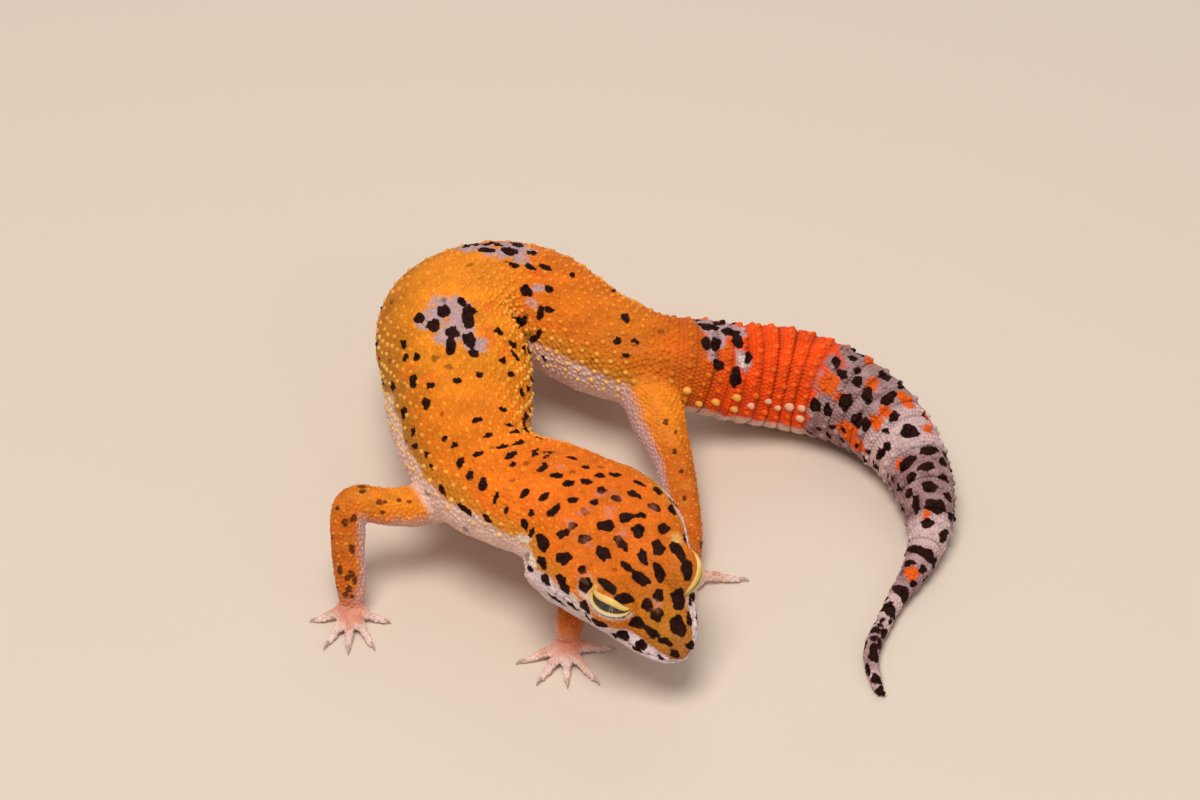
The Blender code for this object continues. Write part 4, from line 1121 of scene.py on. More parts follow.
def markings(points, normals, guess=None):
    """For points on or near the skin: the ground colour, with painted shade on the trunk's right side
    and in the grooves between the tail's rings, the distance to the nearest spot's edge, and how
    dark the spot there is."""
    s, t, w, out = body_places(points, guess)
    level = np.degrees(np.where(t < math.pi / 2, t, math.pi - t))
    left_edge, right_edge = eased(BELLY_EDGE, s).T
    edge = np.where(t < math.pi / 2, left_edge, right_edge)
    rough = mottle(points, 2.4, 1)
    above = level - edge + 3.5 * rough

    ground = eased(BACK_COLOURS, s)
    ground *= (1 + 0.12 * mottle(points, 3.5, 2) + 0.06 * mottle(points, 1.1, 3))[:, None]
    yellow = (1 - fade(above, 6, 34)) * fade(s, 12, 20) * (1 - fade(s, 112, 122))
    ground = mixed(ground, FLANK_YELLOW, 0.62 * yellow)
    # painted shade: the trunk's right side, 38 to 92 mm from the snout, darkened by up to a third, most
    # low on the flank and fading out towards the top of the back
    painted_shade = (1 - fade(level, 30, 84)) * fade(s, 38, 50) * (1 - fade(s, 80, 92)) * (t > math.pi / 2)
    ground = ground * (1 - 0.34 * painted_shade)[:, None]
    snout_yellow = bump(s - 5, 4.5) * (1 - fade(np.abs(w), 1.5, 4.5)) * 0.2
    ground = mixed(ground, FLANK_YELLOW, snout_yellow)
    belly = mixed(np.array([BELLY_PALE]), LIP_PALE, 1 - fade(s, 18, 32))
    ground = mixed(ground, belly, 1 - fade(above, -4, 5))

    ground = mixed(ground, RED, 0.6 * in_patches(points, "red"))
    ground = mixed(ground, LAVENDER, 0.92 * in_patches(points, "lavender"))
    bloom = in_patches(points, "bloom")
    ground = mixed(ground, LAVENDER, 0.3 * bloom)
    pale = fade(s + 1.6 * rough + 0.9 * mottle(points, 1.2, 5), *TAIL_PALE_FROM)
    dusk = eased(TAIL_BANDS, s + 0.5 * rough)[:, 0] * (0.88 + 0.22 * mottle(points, 1.6, 6))
    ground = mixed(ground, mixed(np.array([TAIL_PALE]), TAIL_DUSK, dusk), pale)
    ground = mixed(ground, WARM, in_patches(points, "warm"))
    ground = mixed(ground, CREAM, 0.85 * in_patches(points, "cream"))

    on_limb, number, share = limb_share(points, out)
    inner = np.array([limb["inner"] for limb in LIMBS.values()])[number]
    facing = np.einsum("ij,ij->i", normals, unit(inner))
    limb = mixed(np.array([LIMB_ROOT]), ARM_ORANGE, fade(share, 0.2, 0.55))
    limb = limb * (1 + 0.10 * mottle(points, 1.6, 8))[:, None]
    limb = mixed(limb, FLANK_YELLOW, 0.3 * fade(mottle(points, 1.4, 9), 0.1, 0.9))
    limb = mixed(limb, INNER_PINK, 0.95 * fade(facing, 0.05, 0.6))
    limb = mixed(limb, WRIST_PINK, 0.75 * (1 - fade(points[:, 2] + 0.8 * rough, 2.2, 5.6)))
    limb = mixed(limb, TOE_PALE, 0.9 * (1 - fade(points[:, 2] + 0.3 * rough, 0.9, 2.3)))
    ground = mixed(ground, limb, on_limb)

    dark = np.minimum(nearest_edge(points, BODY_MARKS, 31), nearest_edge(points, STREWN_SPOTS, 32))
    dark = np.minimum(dark, nearest_edge(points, TAIL_MARKS, 35))
    dark = dark + 2.5 * on_limb
    brown = nearest_edge(points, BROWN_SPOTS, 33) + 2.5 * (1 - on_limb)
    faded = nearest_edge(points, FADED_SPOTS, 34) + 2.5 * on_limb
    spot = np.minimum(np.minimum(dark, brown), faded)
    ragged = 0.10 * mottle(points, 0.42, 13)
    strength = np.where(faded <= spot, 0.5, np.where(brown <= spot, 0.8, 1.0)) * (1 - 0.3 * bloom)
    # painted shade in the grooves between the tail's rings, half as strong on its pale part, and none on
    # the limbs
    ground = ground * (1 - (0.32 - 0.16 * pale) * whorl_grooves(s) * (1 - on_limb))[:, None]
    for side in (1, -1):
        ground = lid_tints(points, ground, side)
    return np.clip(ground, 0, 1), spot + ragged, strength


# ================================================================================ the skin
def skin_object():
    """The body and the limbs joined into one closed skin, drawn smooth where they meet."""
    made = add_mesh("skin", *body_shape())
    limbs = limbs_object()
    applied(made, "BOOLEAN", operation="UNION", object=limbs, solver="MANIFOLD")
    bpy.data.objects.remove(limbs)
    points = read_points(made.data)
    s, _, _, out = body_places(points)
    gap = nearest_limb(points)[2]
    meeting = bump(out, 1.5) * bump(np.maximum(gap, 0), 1.3) * fade(s, 26, 34) * (1 - fade(s, 124, 128))
    points = relaxed(made.data, points, 0.75 * np.clip(meeting * 1.6, 0, 1), 26)
    domes = np.zeros(len(points))
    for side in (1, -1):
        middle, axes = eye_frame(side)
        away = np.linalg.norm(points - middle, axis=1)
        domes += bump(away - EYE_RADIUS - LID_HEIGHT, 0.9) * (away > EYE_RADIUS)
    points = relaxed(made.data, points, 0.5 * np.clip(domes, 0, 1), 6)
    creases = points + 0.06 * mottle(points, 1.7, 41)[:, None] * read_points(made.data, True)
    points = np.where((points[:, 2] > 0.4)[:, None], creases, points)
    points[:, 2] = np.maximum(points[:, 2], 0)
    write_points(made.data, points)
    made.data.shade_smooth()
    return made


def paint(made, ground, spot, strength):
    """Keeps each point's ground colour, distance to a spot's edge and darkness of the spot."""
    data = made.data
    colour = np.concatenate([ground, np.ones((len(ground), 1))], 1)
    data.attributes.new("ground", "FLOAT_COLOR", "POINT").data.foreach_set("color", colour.ravel())
    for name, values in (("spot", spot), ("strength", strength)):
        data.attributes.new(name, "FLOAT", "POINT").data.foreach_set("value", values)


def scattered(skin, spacing, seed):
    """Points strewn over the skin, none closer than `spacing` to another, and the way the
    skin faces at each."""
    tree = bpy.data.node_groups.new("scatter", "GeometryNodeTree")
    for way in ("INPUT", "OUTPUT"):
        tree.interface.new_socket("Geometry", in_out=way, socket_type="NodeSocketGeometry")
    start, end = tree.nodes.new("NodeGroupInput"), tree.nodes.new("NodeGroupOutput")
    spread = tree.nodes.new("GeometryNodeDistributePointsOnFaces")
    spread.distribute_method = "POISSON"
    spread.inputs["Distance Min"].default_value = spacing * MM
    spread.inputs["Density Max"].default_value = 7 / (spacing * MM) ** 2
    spread.inputs["Seed"].default_value = seed
    keep = tree.nodes.new("GeometryNodeStoreNamedAttribute")
    keep.data_type = "FLOAT_VECTOR"
    keep.inputs["Name"].default_value = "facing"
    as_verts = tree.nodes.new("GeometryNodePointsToVertices")
    tree.links.new(start.outputs[0], spread.inputs["Mesh"])
    tree.links.new(spread.outputs["Points"], keep.inputs["Geometry"])
    tree.links.new(spread.outputs["Normal"], keep.inputs["Value"])
    tree.links.new(keep.outputs["Geometry"], as_verts.inputs["Points"])
    tree.links.new(as_verts.outputs[0], end.inputs[0])
    change = skin.modifiers.new("scatter", "NODES")
    change.node_group = tree
    bpy.context.view_layer.update()
    seen = skin.evaluated_get(bpy.context.evaluated_depsgraph_get())
    cloud = bpy.data.meshes.new_from_object(seen)
    points = read_points(cloud)
    facing = np.empty(len(points) * 3, np.float32)
    cloud.attributes["facing"].data.foreach_get("vector", facing)
    skin.modifiers.clear()
    bpy.data.node_groups.remove(tree)
    bpy.data.meshes.remove(cloud)
    return points, unit(facing.reshape(-1, 3).astype(float))


def snapped(skin, points):
    """The skin's own points nearest to the given ones, and the way the skin faces there."""
    own, facing = read_points(skin.data), read_points(skin.data, True)
    nearest = np.empty(len(points), int)
    for start in range(0, len(points), 400):
        part = points[start:start + 400]
        low, high = part.min(0) - 2, part.max(0) + 2
        near = np.flatnonzero(((own > low) & (own < high)).all(1))
        away = part[:, None] - own[near][None]
        nearest[start:start + 400] = near[np.einsum("ijk,ijk->ij", away, away).argmin(1)]
    along = np.einsum("ij,ij->i", points - own[nearest], facing[nearest])
    return points - along[:, None] * facing[nearest], facing[nearest]


def bare(points, s, t, normals):
    """True where no scale grows: on the lids' edges and between them, in the mouth's slit, in
    the ears and nostrils, under the soles, and at the tips of the toes."""
    none = (points[:, 2] < 0.25) | (normals[:, 2] < -0.97) & (points[:, 2] < 0.8)
    for side in (1, -1):
        middle, axes = eye_frame(side)
        away = points - middle
        distance = np.linalg.norm(away, axis=1)
        lon, lat = lid_angles(away / distance[:, None], axes)
        lower, upper = lid_edges(lon, side)
        between = (lat > lower - 9) & (lat < upper + 15) & (lon > -60) & (lon < 116)
        none |= between & (distance < EYE_RADIUS + 1.3)
        for place, half in ((EAR_AT, EAR_HALF[1] * 0.95), (NOSTRIL_AT, NOSTRIL_RADIUS * 1.5)):
            away = points - head_place(place[0], side * place[1], place[2])
            none |= np.linalg.norm(away, axis=1) < half
    gap = mouth_gap(s, t, np.linalg.norm(points - spine_frames(s)[0], axis=1))
    return none | (np.abs(gap) < 0.3) & (s < MOUTH_ENDS[0] + 0.5)


def unwrap(points, s, t, on_limb):
    """Each point's place on a flat map of the skin: the body by its distance along the spine
    and its angle round it, and each limb by its own strip, with the toes fanned by heading."""
    flat_body = np.column_stack([s / TOTAL_LENGTH, (t + math.pi / 2) / (2 * math.pi)])
    number, share, _ = nearest_limb(points)
    middles = np.array([[*placed(limb["palm"]), PALM_HEIGHT] for limb in LIMBS.values()])[number]
    away = points - middles
    heading = np.arctan2(away[:, 1], away[:, 0]) / (2 * math.pi) + 0.5
    reach = np.linalg.norm(away[:, :2], axis=1)
    lines = np.array([limb_line(limb, LIMB_STEPS)[:, :3] for limb in LIMBS.values()])
    off = points - lines[number, np.round(share * (LIMB_STEPS - 1)).astype(int)]
    side = np.arctan2(off[:, 0], off[:, 2] + off[:, 1]) / (2 * math.pi) + 0.5
    foot = points[:, 2] < 3.2
    along = np.where(foot, 0.62 + 0.36 * np.clip(reach / 9.5, 0, 1), 0.6 * share)
    round_it = (number + 0.04 + 0.92 * np.where(foot, heading, side)) / 4
    flat_limbs = np.column_stack([along, round_it])
    return np.where((on_limb > 0.5)[:, None], flat_limbs, flat_body)


PATCH_SIZE = 0.003        # how wide each scale's patch is on the map of the skin
# Radius and height of each ring of a scale, as shares of its own, from its sunk foot up to
# the ring below its tip.
GRAIN = ((1.0, -0.8), (0.8, 0.6))
PLATE = ((1.0, -0.9), (0.93, 0.55), (0.7, 0.9))
TUBERCLE = ((1.0, -0.35), (0.86, 0.3), (0.5, 0.8))


def scales(name, roots, normals, long_way, half, height, profile, sides, lean, tint=None):
    """Many small closed scales as one object. Each is a stack of rings about its root, an
    ellipse of the given half sizes flattened onto the skin, with a tip that leans tailwards.

    The same markings are read at every corner of every scale. `tint`, if there is one, is how
    far each one's colour is brought towards another, as rows of share, red, green and blue."""
    count = len(roots)
    long_way = unit(long_way - normals * np.einsum("ij,ij->i", long_way, normals)[:, None])
    short_way = np.cross(normals, long_way)
    angle = np.arange(sides) / sides * 2 * math.pi
    rows = [[radius * math.cos(a), radius * math.sin(a), up] for radius, up in profile for a in angle]
    shape = np.array(rows + [[0, 0, 1.0]])
    shape[:, 0] += lean * np.maximum(shape[:, 2], 0)
    place = (
        roots[:, None]
        + shape[None, :, 0, None] * half[:, None, :1] * long_way[:, None]
        + shape[None, :, 1, None] * half[:, None, 1:] * short_way[:, None]
        + shape[None, :, 2, None] * height[:, None, None] * normals[:, None]
    )
    ring = np.arange(sides)
    after = np.roll(ring, -1)
    polygons = [list(ring[::-1])]
    for level in range(len(profile) - 1):
        low, high = level * sides, (level + 1) * sides
        polygons += np.stack([low + ring, low + after, high + after, high + ring], 1).tolist()
    top = (len(profile) - 1) * sides
    polygons += np.stack([top + ring, top + after, 0 * ring + len(shape) - 1], 1).tolist()
    per = len(shape)
    corners = np.concatenate([np.array(polygon) for polygon in polygons])
    sizes = np.array([len(polygon) for polygon in polygons])
    all_corners = (np.arange(count)[:, None] * per + corners).ravel()
    all_sizes = np.tile(sizes, count)
    points = place.reshape(-1, 3)
    points[:, 2] = np.maximum(points[:, 2], 0.0)

    data = bpy.data.meshes.new(name)
    data.vertices.add(len(points))
    data.vertices.foreach_set("co", (points * MM).astype(np.float32).ravel())
    data.loops.add(len(all_corners))
    data.loops.foreach_set("vertex_index", all_corners.astype(np.int32))
    data.polygons.add(len(all_sizes))
    starts = np.concatenate([[0], np.cumsum(all_sizes)[:-1]])
    data.polygons.foreach_set("loop_start", starts.astype(np.int32))
    data.update(calc_edges=True)
    data.shade_smooth()
    made = bpy.data.objects.new(name, data)
    bpy.context.scene.collection.objects.link(made)

    guess = along_spine(roots)[0]
    ground, spot, strength = markings(points, np.repeat(normals, per, 0), np.repeat(guess, per))
    chance = np.random.default_rng(len(roots))
    if tint is not None:
        tint = np.repeat(tint, per, 0)
        ground = mixed(ground, tint[:, 1:], tint[:, 0])
    ground = ground * np.repeat(chance.uniform(0.92, 1.08, count), per)[:, None]
    paint(made, np.clip(ground, 0, 1), spot, strength)

    s, t, _, out = body_places(roots, guess)
    flat = unwrap(roots, s, t, limb_share(roots, out)[0])
    low, high = flat.min(0), flat.max(0)
    flat = 0.01 + 0.98 * (flat - low) / (high - low)
    patch = flat[:, None] + shape[None, :, :2] * PATCH_SIZE / 2
    patch = np.clip(patch.reshape(-1, 2), 0, 1)[all_corners]
    data.uv_layers.new(name="OFBake").data.foreach_set("uv", patch.ravel())
    return made


WHORL_ROWS = np.array([-0.96, -0.32, 0.32, 0.96])      # rows of scales on each ring of the tail
WHORL_COUNT = 36


def tail_lattice(skin, spacing):
    """Places in even rows round the tail, four rows to a ring, and the way the skin faces."""
    rows = WHORLS_FROM[0] + WHORL * np.arange(WHORL_COUNT)[:, None] + WHORL_ROWS
    roots = []
    for number, s in enumerate(rows.ravel()):
        run = SECTIONS[4][row_at(s)]
        count = max(int((run[0] - run[-1]) / spacing), 6)
        w = run[0] + (run[-1] - run[0]) * (np.arange(count) + 0.5 * (number % 2)) / count
        roots.append(on_body(np.full(count, s), w)[0])
    roots = np.concatenate(roots)
    return snapped(skin, roots[np.argsort(roots[:, 0])])


def grain_coat(skin, name, spacing, height, first, last, limbs, seed):
    """Small rounded scales side by side, on the limbs or between two distances on the body."""
    lattice = name == "scales_tail"
    points, normals = tail_lattice(skin, spacing) if lattice else scattered(skin, spacing, seed)
    s, t, _, out = body_places(points)
    on_limb = limb_share(points, out)[0] > 0.5
    kept = (s >= first) & (s < last) & (on_limb == limbs) & ~bare(points, s, t, normals)
    points, normals, s = points[kept], normals[kept], s[kept]
    chance = np.random.default_rng(seed)
    size = spacing * chance.uniform(0.56, 0.66, len(points))
    half = np.column_stack([size, size * chance.uniform(0.86, 1.0, len(points))])
    high = height * chance.uniform(0.8, 1.2, len(points))
    tailwards = -np.cross(*spine_frames(s)[1:])
    tailwards = unit(tailwards + 0.3 * chance.normal(size=tailwards.shape))
    return scales(name, points, normals, tailwards, half, high, GRAIN, 6, 0.12)


# Rows of tubercles on the body: first and last distance, step between rows, distance apart
# in a row, how many degrees above the widest level they start, half width and height.
TUBERCLE_ROWS = (
    (14.5, 33, 1.35, 1.5, 14, 0.32, 0.19), (33, 84, 1.55, 1.7, 2, 0.40, 0.36),
    (84.15, 114.6, 1.55, 1.6, -14, 0.42, 0.38), (115, 200, WHORL, 1.75, -25, 0.50, 0.48),
)
TUBERCLE_BACK = (0.92, 0.36, 0.025)       # on the back
LIMB_CONE = (0.88, 0.36, 0.04)            # on the limbs
TUBERCLE_FLANK = (0.92, 0.52, 0.10)       # low on the flanks
TUBERCLE_CREAM = (0.84, 0.56, 0.36)       # in one row low on the orange band of the tail
YELLOW_FROM = (26, 40)                    # where they start to stand out, along the spine
TAIL_ROOT = (112, 139)                    # the orange root of the tail, along the spine
CREAM_FROM = 127                          # where the row of cream ones starts
CREAM_ROW = (-5, 10)                      # degrees above the widest level it lies between


def body_tubercles(skin):
    """Larger cones in staggered rows over the back and flanks, one row to each ring of the
    tail. They are yellow on the flanks, and cream in a row low on the tail's orange band."""
    chance = np.random.default_rng(8)
    roots, sizes, colours = [], [], []
    for first, last, step, apart, lowest, half, height in TUBERCLE_ROWS:
        for number, s in enumerate(np.arange(first, last, step)):
            run = SECTIONS[4][row_at(s)]
            w = np.arange(-40, 40, apart) + (number % 2) * apart / 2
            w = w + chance.normal(0, 0.09 * apart, len(w))
            t = np.interp(-w, -run, ROUND, left=-9, right=9)
            level = np.degrees(np.where(t < math.pi / 2, t, math.pi - t))
            kept = (level > lowest) & (level > -60)
            w, level = w[kept], level[kept]
            along = s + chance.normal(0, 0.08 * step, len(w))
            point = on_body(along, w)[0]
            slimmer = min(1, eased(GIRTH, [s])[0, 0] / 5 + 0.15)
            size = half * chance.uniform(0.8, 1.15, len(w)) * slimmer
            pale, low = TUBERCLE_FLANK, (1 - fade(level, 12, 62)) * fade(s, *YELLOW_FROM)
            share = 0.3 + 0.3 * fade(s, *YELLOW_FROM) + 0.25 * low
            if TAIL_ROOT[0] < s < TAIL_ROOT[1]:
                chosen = chance.uniform(0, 1, len(w)) < 0.5
                low = (1 - fade(level, 4, 26)) * chosen
                if s > CREAM_FROM:
                    pale = TUBERCLE_CREAM
                    low = ((level > CREAM_ROW[0]) & (level < CREAM_ROW[1])).astype(float)
                share = 0.15 + 0.6 * low
                size = size * (1 + 0.35 * low)
            tone = mixed(np.array([TUBERCLE_BACK]), pale, low)
            roots.append(point)
            sizes.append(np.column_stack([size * 1.1, size, np.full(len(w), height) * size / half]))
            colours.append(np.column_stack([share * (s < TAIL_ROOT[1]), tone]))
    roots, sizes, colours = (np.concatenate(part) for part in (roots, sizes, colours))
    order = np.argsort(roots[:, 0])
    roots, sizes, colours = roots[order], sizes[order], colours[order]
    roots, normals = snapped(skin, roots)
    s, t, _, out = body_places(roots)
    kept = (limb_share(roots, out)[0] < 0.5) & (np.abs(out) < 1.5) & ~bare(roots, s, t, normals)
    roots, normals, sizes, colours, s = (part[kept] for part in (roots, normals, sizes, colours, s))
    _, spot, _ = markings(roots, normals, s)
    colours[:, 0] *= fade(spot, 0.0, 0.5)
    tailwards = -np.cross(*spine_frames(s)[1:])
    half, height = sizes[:, :2], sizes[:, 2]
    return scales("tubercles_body", roots, normals, tailwards, half, height, TUBERCLE, 8, 0.35, colours)


def limb_tubercles(skin):
    """Cones in staggered rings round the outer side of each limb, down to the wrist."""
    chance = np.random.default_rng(9)
    roots = []
    for limb in LIMBS.values():
        line = limb_line(limb, 60)
        ahead = unit(np.gradient(line[:, :3], axis=0))
        length = np.concatenate([[0], np.cumsum(np.linalg.norm(np.diff(line[:, :3], axis=0), axis=1))])
        for number, here in enumerate(np.arange(3, length[-1] - 3, 1.5)):
            index = int(np.searchsorted(length, here))
            outer = unit(-np.array(limb["inner"]) + ahead[index] * (ahead[index] @ limb["inner"]))
            other = np.cross(ahead[index], outer)
            count = int(4.2 * line[index, 3] / 1.5)
            angle = (np.arange(count) + (number % 2) / 2) / count * 4.2 - 2.1
            angle = (angle + chance.normal(0, 0.08, count))[:, None]
            out = np.cos(angle) * outer + np.sin(angle) * other
            roots.append(line[index, :3] + line[index, 3] * out)
    roots = np.concatenate(roots)
    roots, normals = snapped(skin, roots[np.argsort(roots[:, 0])])
    out = body_places(roots)[3]
    kept = (limb_share(roots, out)[0] > 0.5) & (roots[:, 2] > 2.6)
    roots, normals = roots[kept], normals[kept]
    size = 0.29 * chance.uniform(0.85, 1.15, len(roots))
    half = np.column_stack([size, size])
    colours = np.tile((0.5, *LIMB_CONE), (len(roots), 1))
    way = np.tile((0.0, 0.0, -1.0), (len(roots), 1)) + 0.2 * normals[:, [1, 2, 0]]
    return scales("tubercles_limbs", roots, normals, way, half, size * 0.75, TUBERCLE, 8, 0.2, colours)


LABIAL_STEP = 1.25
LABIAL_HEIGHT = 0.13
LABIALS = ((0.66, 0.58, 0.46), (-0.62, 0.6, 0.42))     # place above the slit, half sizes


def lip_plates(skin):
    """The labial scales: a row of flat rounded plates above the mouth's slit and one below."""
    roots, halves = [], []
    for gap, half_length, half_width in LABIALS:
        s = np.arange(0.9, MOUTH_ENDS[0], LABIAL_STEP)
        below = np.radians(read_table(MOUTH_LINE, s))
        for side in (1, -1):
            flat = -below if side > 0 else math.pi + below
            x, z = body_section(s, np.array([0.0, math.pi]), 0)
            reach = np.hypot(x[:, 0], z[:, 0])
            t = flat + side * gap / reach
            pairs = np.stack([s, t], 1)[:, :, None]
            roots.append(np.array([body_points(*pair, -SKIN_INSET)[0, 0] for pair in pairs]))
            small = np.clip(0.55 + s / 9, 0.5, 1)
            halves.append(np.column_stack([half_length * small ** 0.3, half_width * small]))
    roots, halves = np.concatenate(roots), np.concatenate(halves)
    roots, normals = snapped(skin, roots)
    tailwards = -np.cross(*spine_frames(along_spine(roots)[0])[1:])
    ahead = np.roll(roots, -1, 0) - roots
    way = np.where((np.linalg.norm(ahead, axis=1) < 3)[:, None], ahead, tailwards)
    height = np.full(len(roots), LABIAL_HEIGHT)
    return scales("lip_plates", roots, normals, way, halves, height, PLATE, 12, 0.0)


# ================================================================== the eyes, lids and claws
def lid_roll(side, table, raised, lift, half, ends):
    """One lid's thickened edge: flattened rings carried along the edge over the eyeball,
    growing from a point at each corner of the eye."""
    middle, axes = eye_frame(side)
    along = np.linspace(0, 1, 72)
    lon = ends[0] + (ends[1] - ends[0]) * along
    edge = read_table(table, lon)
    edge = np.convolve(np.pad(edge, 4, mode="edge"), np.full(9, 1 / 9), "valid")
    swell = np.sqrt(np.clip(1 - np.abs(2 * along - 1) ** 2.6, 0, 1)) + 0.03
    lat = edge + raised + np.degrees(lift * swell / EYE_RADIUS)
    out = lid_direction(lon, lat, axes)
    line = middle + out * (EYE_RADIUS + 0.16)
    ahead = unit(np.gradient(line, axis=0))
    across = unit(np.cross(out, ahead))
    angle = np.arange(16) / 16 * 2 * math.pi
    rings = line[:, None] + swell[:, None, None] * (
        half[0] * np.cos(angle)[None, :, None] * across[:, None]
        + half[1] * np.sin(angle)[None, :, None] * out[:, None]
    )
    verts = np.concatenate([line[:1], rings.reshape(-1, 3), line[-1:]])
    return verts, ring_faces([16] * len(line))


LOWER_INNER, LOWER_OUTER = (0.74, 0.50, 0.09), (0.76, 0.68, 0.60)   # colours of the lower lid


def lids_object():
    """The edges of both eyes' lids: a plump yellow one above, and below it a thin one, yellow
    where it meets the eyeball and white outside."""
    shapes, colours = [], []
    for side in (1, -1):
        upper = lid_roll(side, UPPER_LID, LID_LIFT[side][0], UPPER_ROLL[0], UPPER_ROLL, (-62, 114))
        lower = lid_roll(side, LOWER_LID, LID_LIFT[side][1], -LOWER_ROLL[0], LOWER_ROLL, (-65, 112))
        shapes += [upper, lower]
        middle, axes = eye_frame(side)
        tone = mottle(upper[0], 1.2, 51)[:, None]
        colours.append(np.array([LID_YELLOW]) * (1 + 0.1 * tone))
        lon, lat = lid_angles(unit(lower[0] - middle), axes)
        inner = fade(lat - lid_edges(lon, side)[0], -4.5, -1.0)[:, None]
        colours.append(inner * np.array(LOWER_INNER) + (1 - inner) * np.array(LOWER_OUTER))
    made = add_mesh("eyelid_edges", *joined(shapes))
    colours = np.concatenate(colours)
    paint(made, colours, np.full(len(colours), 3.0), np.ones(len(colours)))
    return made


SLIT_HALF = (0.17, 2.1)      # half the pupil's width and height


def eyeball(side, name):
    """A smooth ball that keeps, at each point, its distance from the pupil's slit and from
    the middle of the iris."""
    middle, axes = eye_frame(side)
    look = lid_direction(*np.array(GAZE), axes)
    up = unit(axes[1] - look * (axes[1] @ look))
    across = np.cross(up, look)
    verts, faces = ball(middle, (EYE_RADIUS,) * 3, (up, across, look), 64, 40)
    made = add_mesh(name, verts, faces)
    way = unit(verts - middle)
    x, y = EYE_RADIUS * (way @ across), EYE_RADIUS * (way @ up)
    width = SLIT_HALF[0] * np.sqrt(np.clip(1 - (y / SLIT_HALF[1]) ** 2, 0, 1))
    width *= 1 + 0.35 * np.cos(y * 5.5)
    facing = way @ look
    slit = np.where(facing > 0, np.abs(x) - width, 3.0)
    rim = EYE_RADIUS * np.arccos(np.clip(facing, -1, 1))
    made.data.attributes.new("slit", "FLOAT", "POINT").data.foreach_set("value", slit)
    made.data.attributes.new("iris", "FLOAT", "POINT").data.foreach_set("value", rim)
    return made


def claws_object():
    """Twenty curved claws, each a tapering tube over the end of its toe."""
    shapes = []
    for limb in LIMBS.values():
        for toe in limb["toes"]:
            shapes.append(tube(smooth_line(toe_points(limb, toe, CLAW_LINE), 14), 10))
    verts, faces = joined(shapes)
    verts[:, 2] = np.maximum(verts[:, 2], 0)
    return add_mesh("claws", verts, faces)


# ============================================================================ the materials
SPOT_COLOUR = (0.012, 0.0036, 0.003, 1)
SPOT_BROWN = (0.036, 0.010, 0.006, 1)
SKIN_SHINE, SPOT_SHINE = 0.13, 0.04         # the specular level of the ground and of a spot
IRIS_DARK, IRIS_LIGHT = (0.030, 0.022, 0.019, 1), (0.072, 0.052, 0.036, 1)
SLIT_LINE, PUPIL, EYE_RIM = (0.42, 0.34, 0.27, 1), (0.004, 0.003, 0.003, 1), (0.03, 0.018, 0.014, 1)
CLAW_TIP, CLAW_ROOT = (0.42, 0.30, 0.24, 1), (0.62, 0.42, 0.36, 1)
# painted shade: dark colours for the skin inside the eye sockets, and in the ears and nostrils
SOCKET_SHADE, PIT_SHADE = (0.10, 0.05, 0.03), (0.05, 0.02, 0.015)
UNDER_SKIN = (0.72, 0.2, 0.02)


def wired(tree, kind, values=None, **settings):
    """A node with its settings, and each named or numbered input set or linked."""
    node = tree.nodes.new(kind)
    for key, value in settings.items():
        setattr(node, key, value)
    for key, value in (values or {}).items():
        if isinstance(value, bpy.types.NodeSocket):
            tree.links.new(value, node.inputs[key])
        else:
            node.inputs[key].default_value = value
    return node


def math_node(tree, operation, *values):
    """The result of one sum on numbers or sockets."""
    return wired(tree, "ShaderNodeMath", dict(enumerate(values)), operation=operation).outputs[0]


def ramp(tree, value, ends, reach=(0.0, 1.0), kind="LINEAR"):
    """A value brought from between the two ends to between the two of `reach`."""
    limits = dict(zip(("From Min", "From Max", "To Min", "To Max"), (*ends, *reach)))
    values = {"Value": value, **limits}
    return wired(tree, "ShaderNodeMapRange", values, interpolation_type=kind).outputs[0]


def blend(tree, share, first, second):
    """The first colour brought towards the second by a share."""
    return wired(tree, "ShaderNodeMix", {0: share, 6: first, 7: second}, data_type="RGBA").outputs[2]


def noise(tree, scale, detail):
    """Fine noise in the object's own space."""
    place = wired(tree, "ShaderNodeTexCoord").outputs["Object"]
    values = {"Vector": place, "Scale": scale, "Detail": detail}
    return wired(tree, "ShaderNodeTexNoise", values).outputs["Fac"]


def carried(tree, name, output="Fac"):
    """One of the values that the mesh's points carry."""
    return wired(tree, "ShaderNodeAttribute", attribute_name=name).outputs[output]


def new_group(name, inputs, outputs):
    """An empty shader node group with named inputs, given as name, kind and default."""
    tree = bpy.data.node_groups.new(name, "ShaderNodeTree")
    for label, kind, value in inputs:
        socket = tree.interface.new_socket(label, in_out="INPUT", socket_type=kind)
        socket.default_value = value
    for label, kind in outputs:
        tree.interface.new_socket(label, in_out="OUTPUT", socket_type=kind)
    return tree, tree.nodes.new("NodeGroupInput").outputs, tree.nodes.new("NodeGroupOutput").inputs


def markings_group():
    """Ground colour and spots from the attributes, with a fine ragged edge to each spot."""
    tree, given, result = new_group(
        "markings", [("Ragged", "NodeSocketFloat", 0.12), ("Grain", "NodeSocketFloat", 0.16)],
        [("Color", "NodeSocketColor"), ("Spot", "NodeSocketFloat")],
    )
    uneven = math_node(tree, "SUBTRACT", noise(tree, 1500.0, 3.0), 0.5)
    moved = math_node(tree, "MULTIPLY_ADD", uneven, given["Ragged"], carried(tree, "spot"))
    mask = ramp(tree, moved, (-0.12, 0.12), (1.0, 0.0), "SMOOTHSTEP")
    dark = math_node(tree, "MULTIPLY", mask, carried(tree, "strength"))
    light = ramp(tree, noise(tree, 900.0, 2.0), (0.3, 0.7))
    swing = math_node(tree, "MULTIPLY_ADD", math_node(tree, "ADD", light, -0.5), given["Grain"], 1.0)
    values = {0: carried(tree, "ground", "Color"), "Scale": swing}
    toned = wired(tree, "ShaderNodeVectorMath", values, operation="SCALE").outputs[0]
    brown = blend(tree, light, SPOT_COLOUR, SPOT_BROWN)
    tree.links.new(blend(tree, dark, toned, brown), result["Color"])
    tree.links.new(dark, result["Spot"])
    return tree


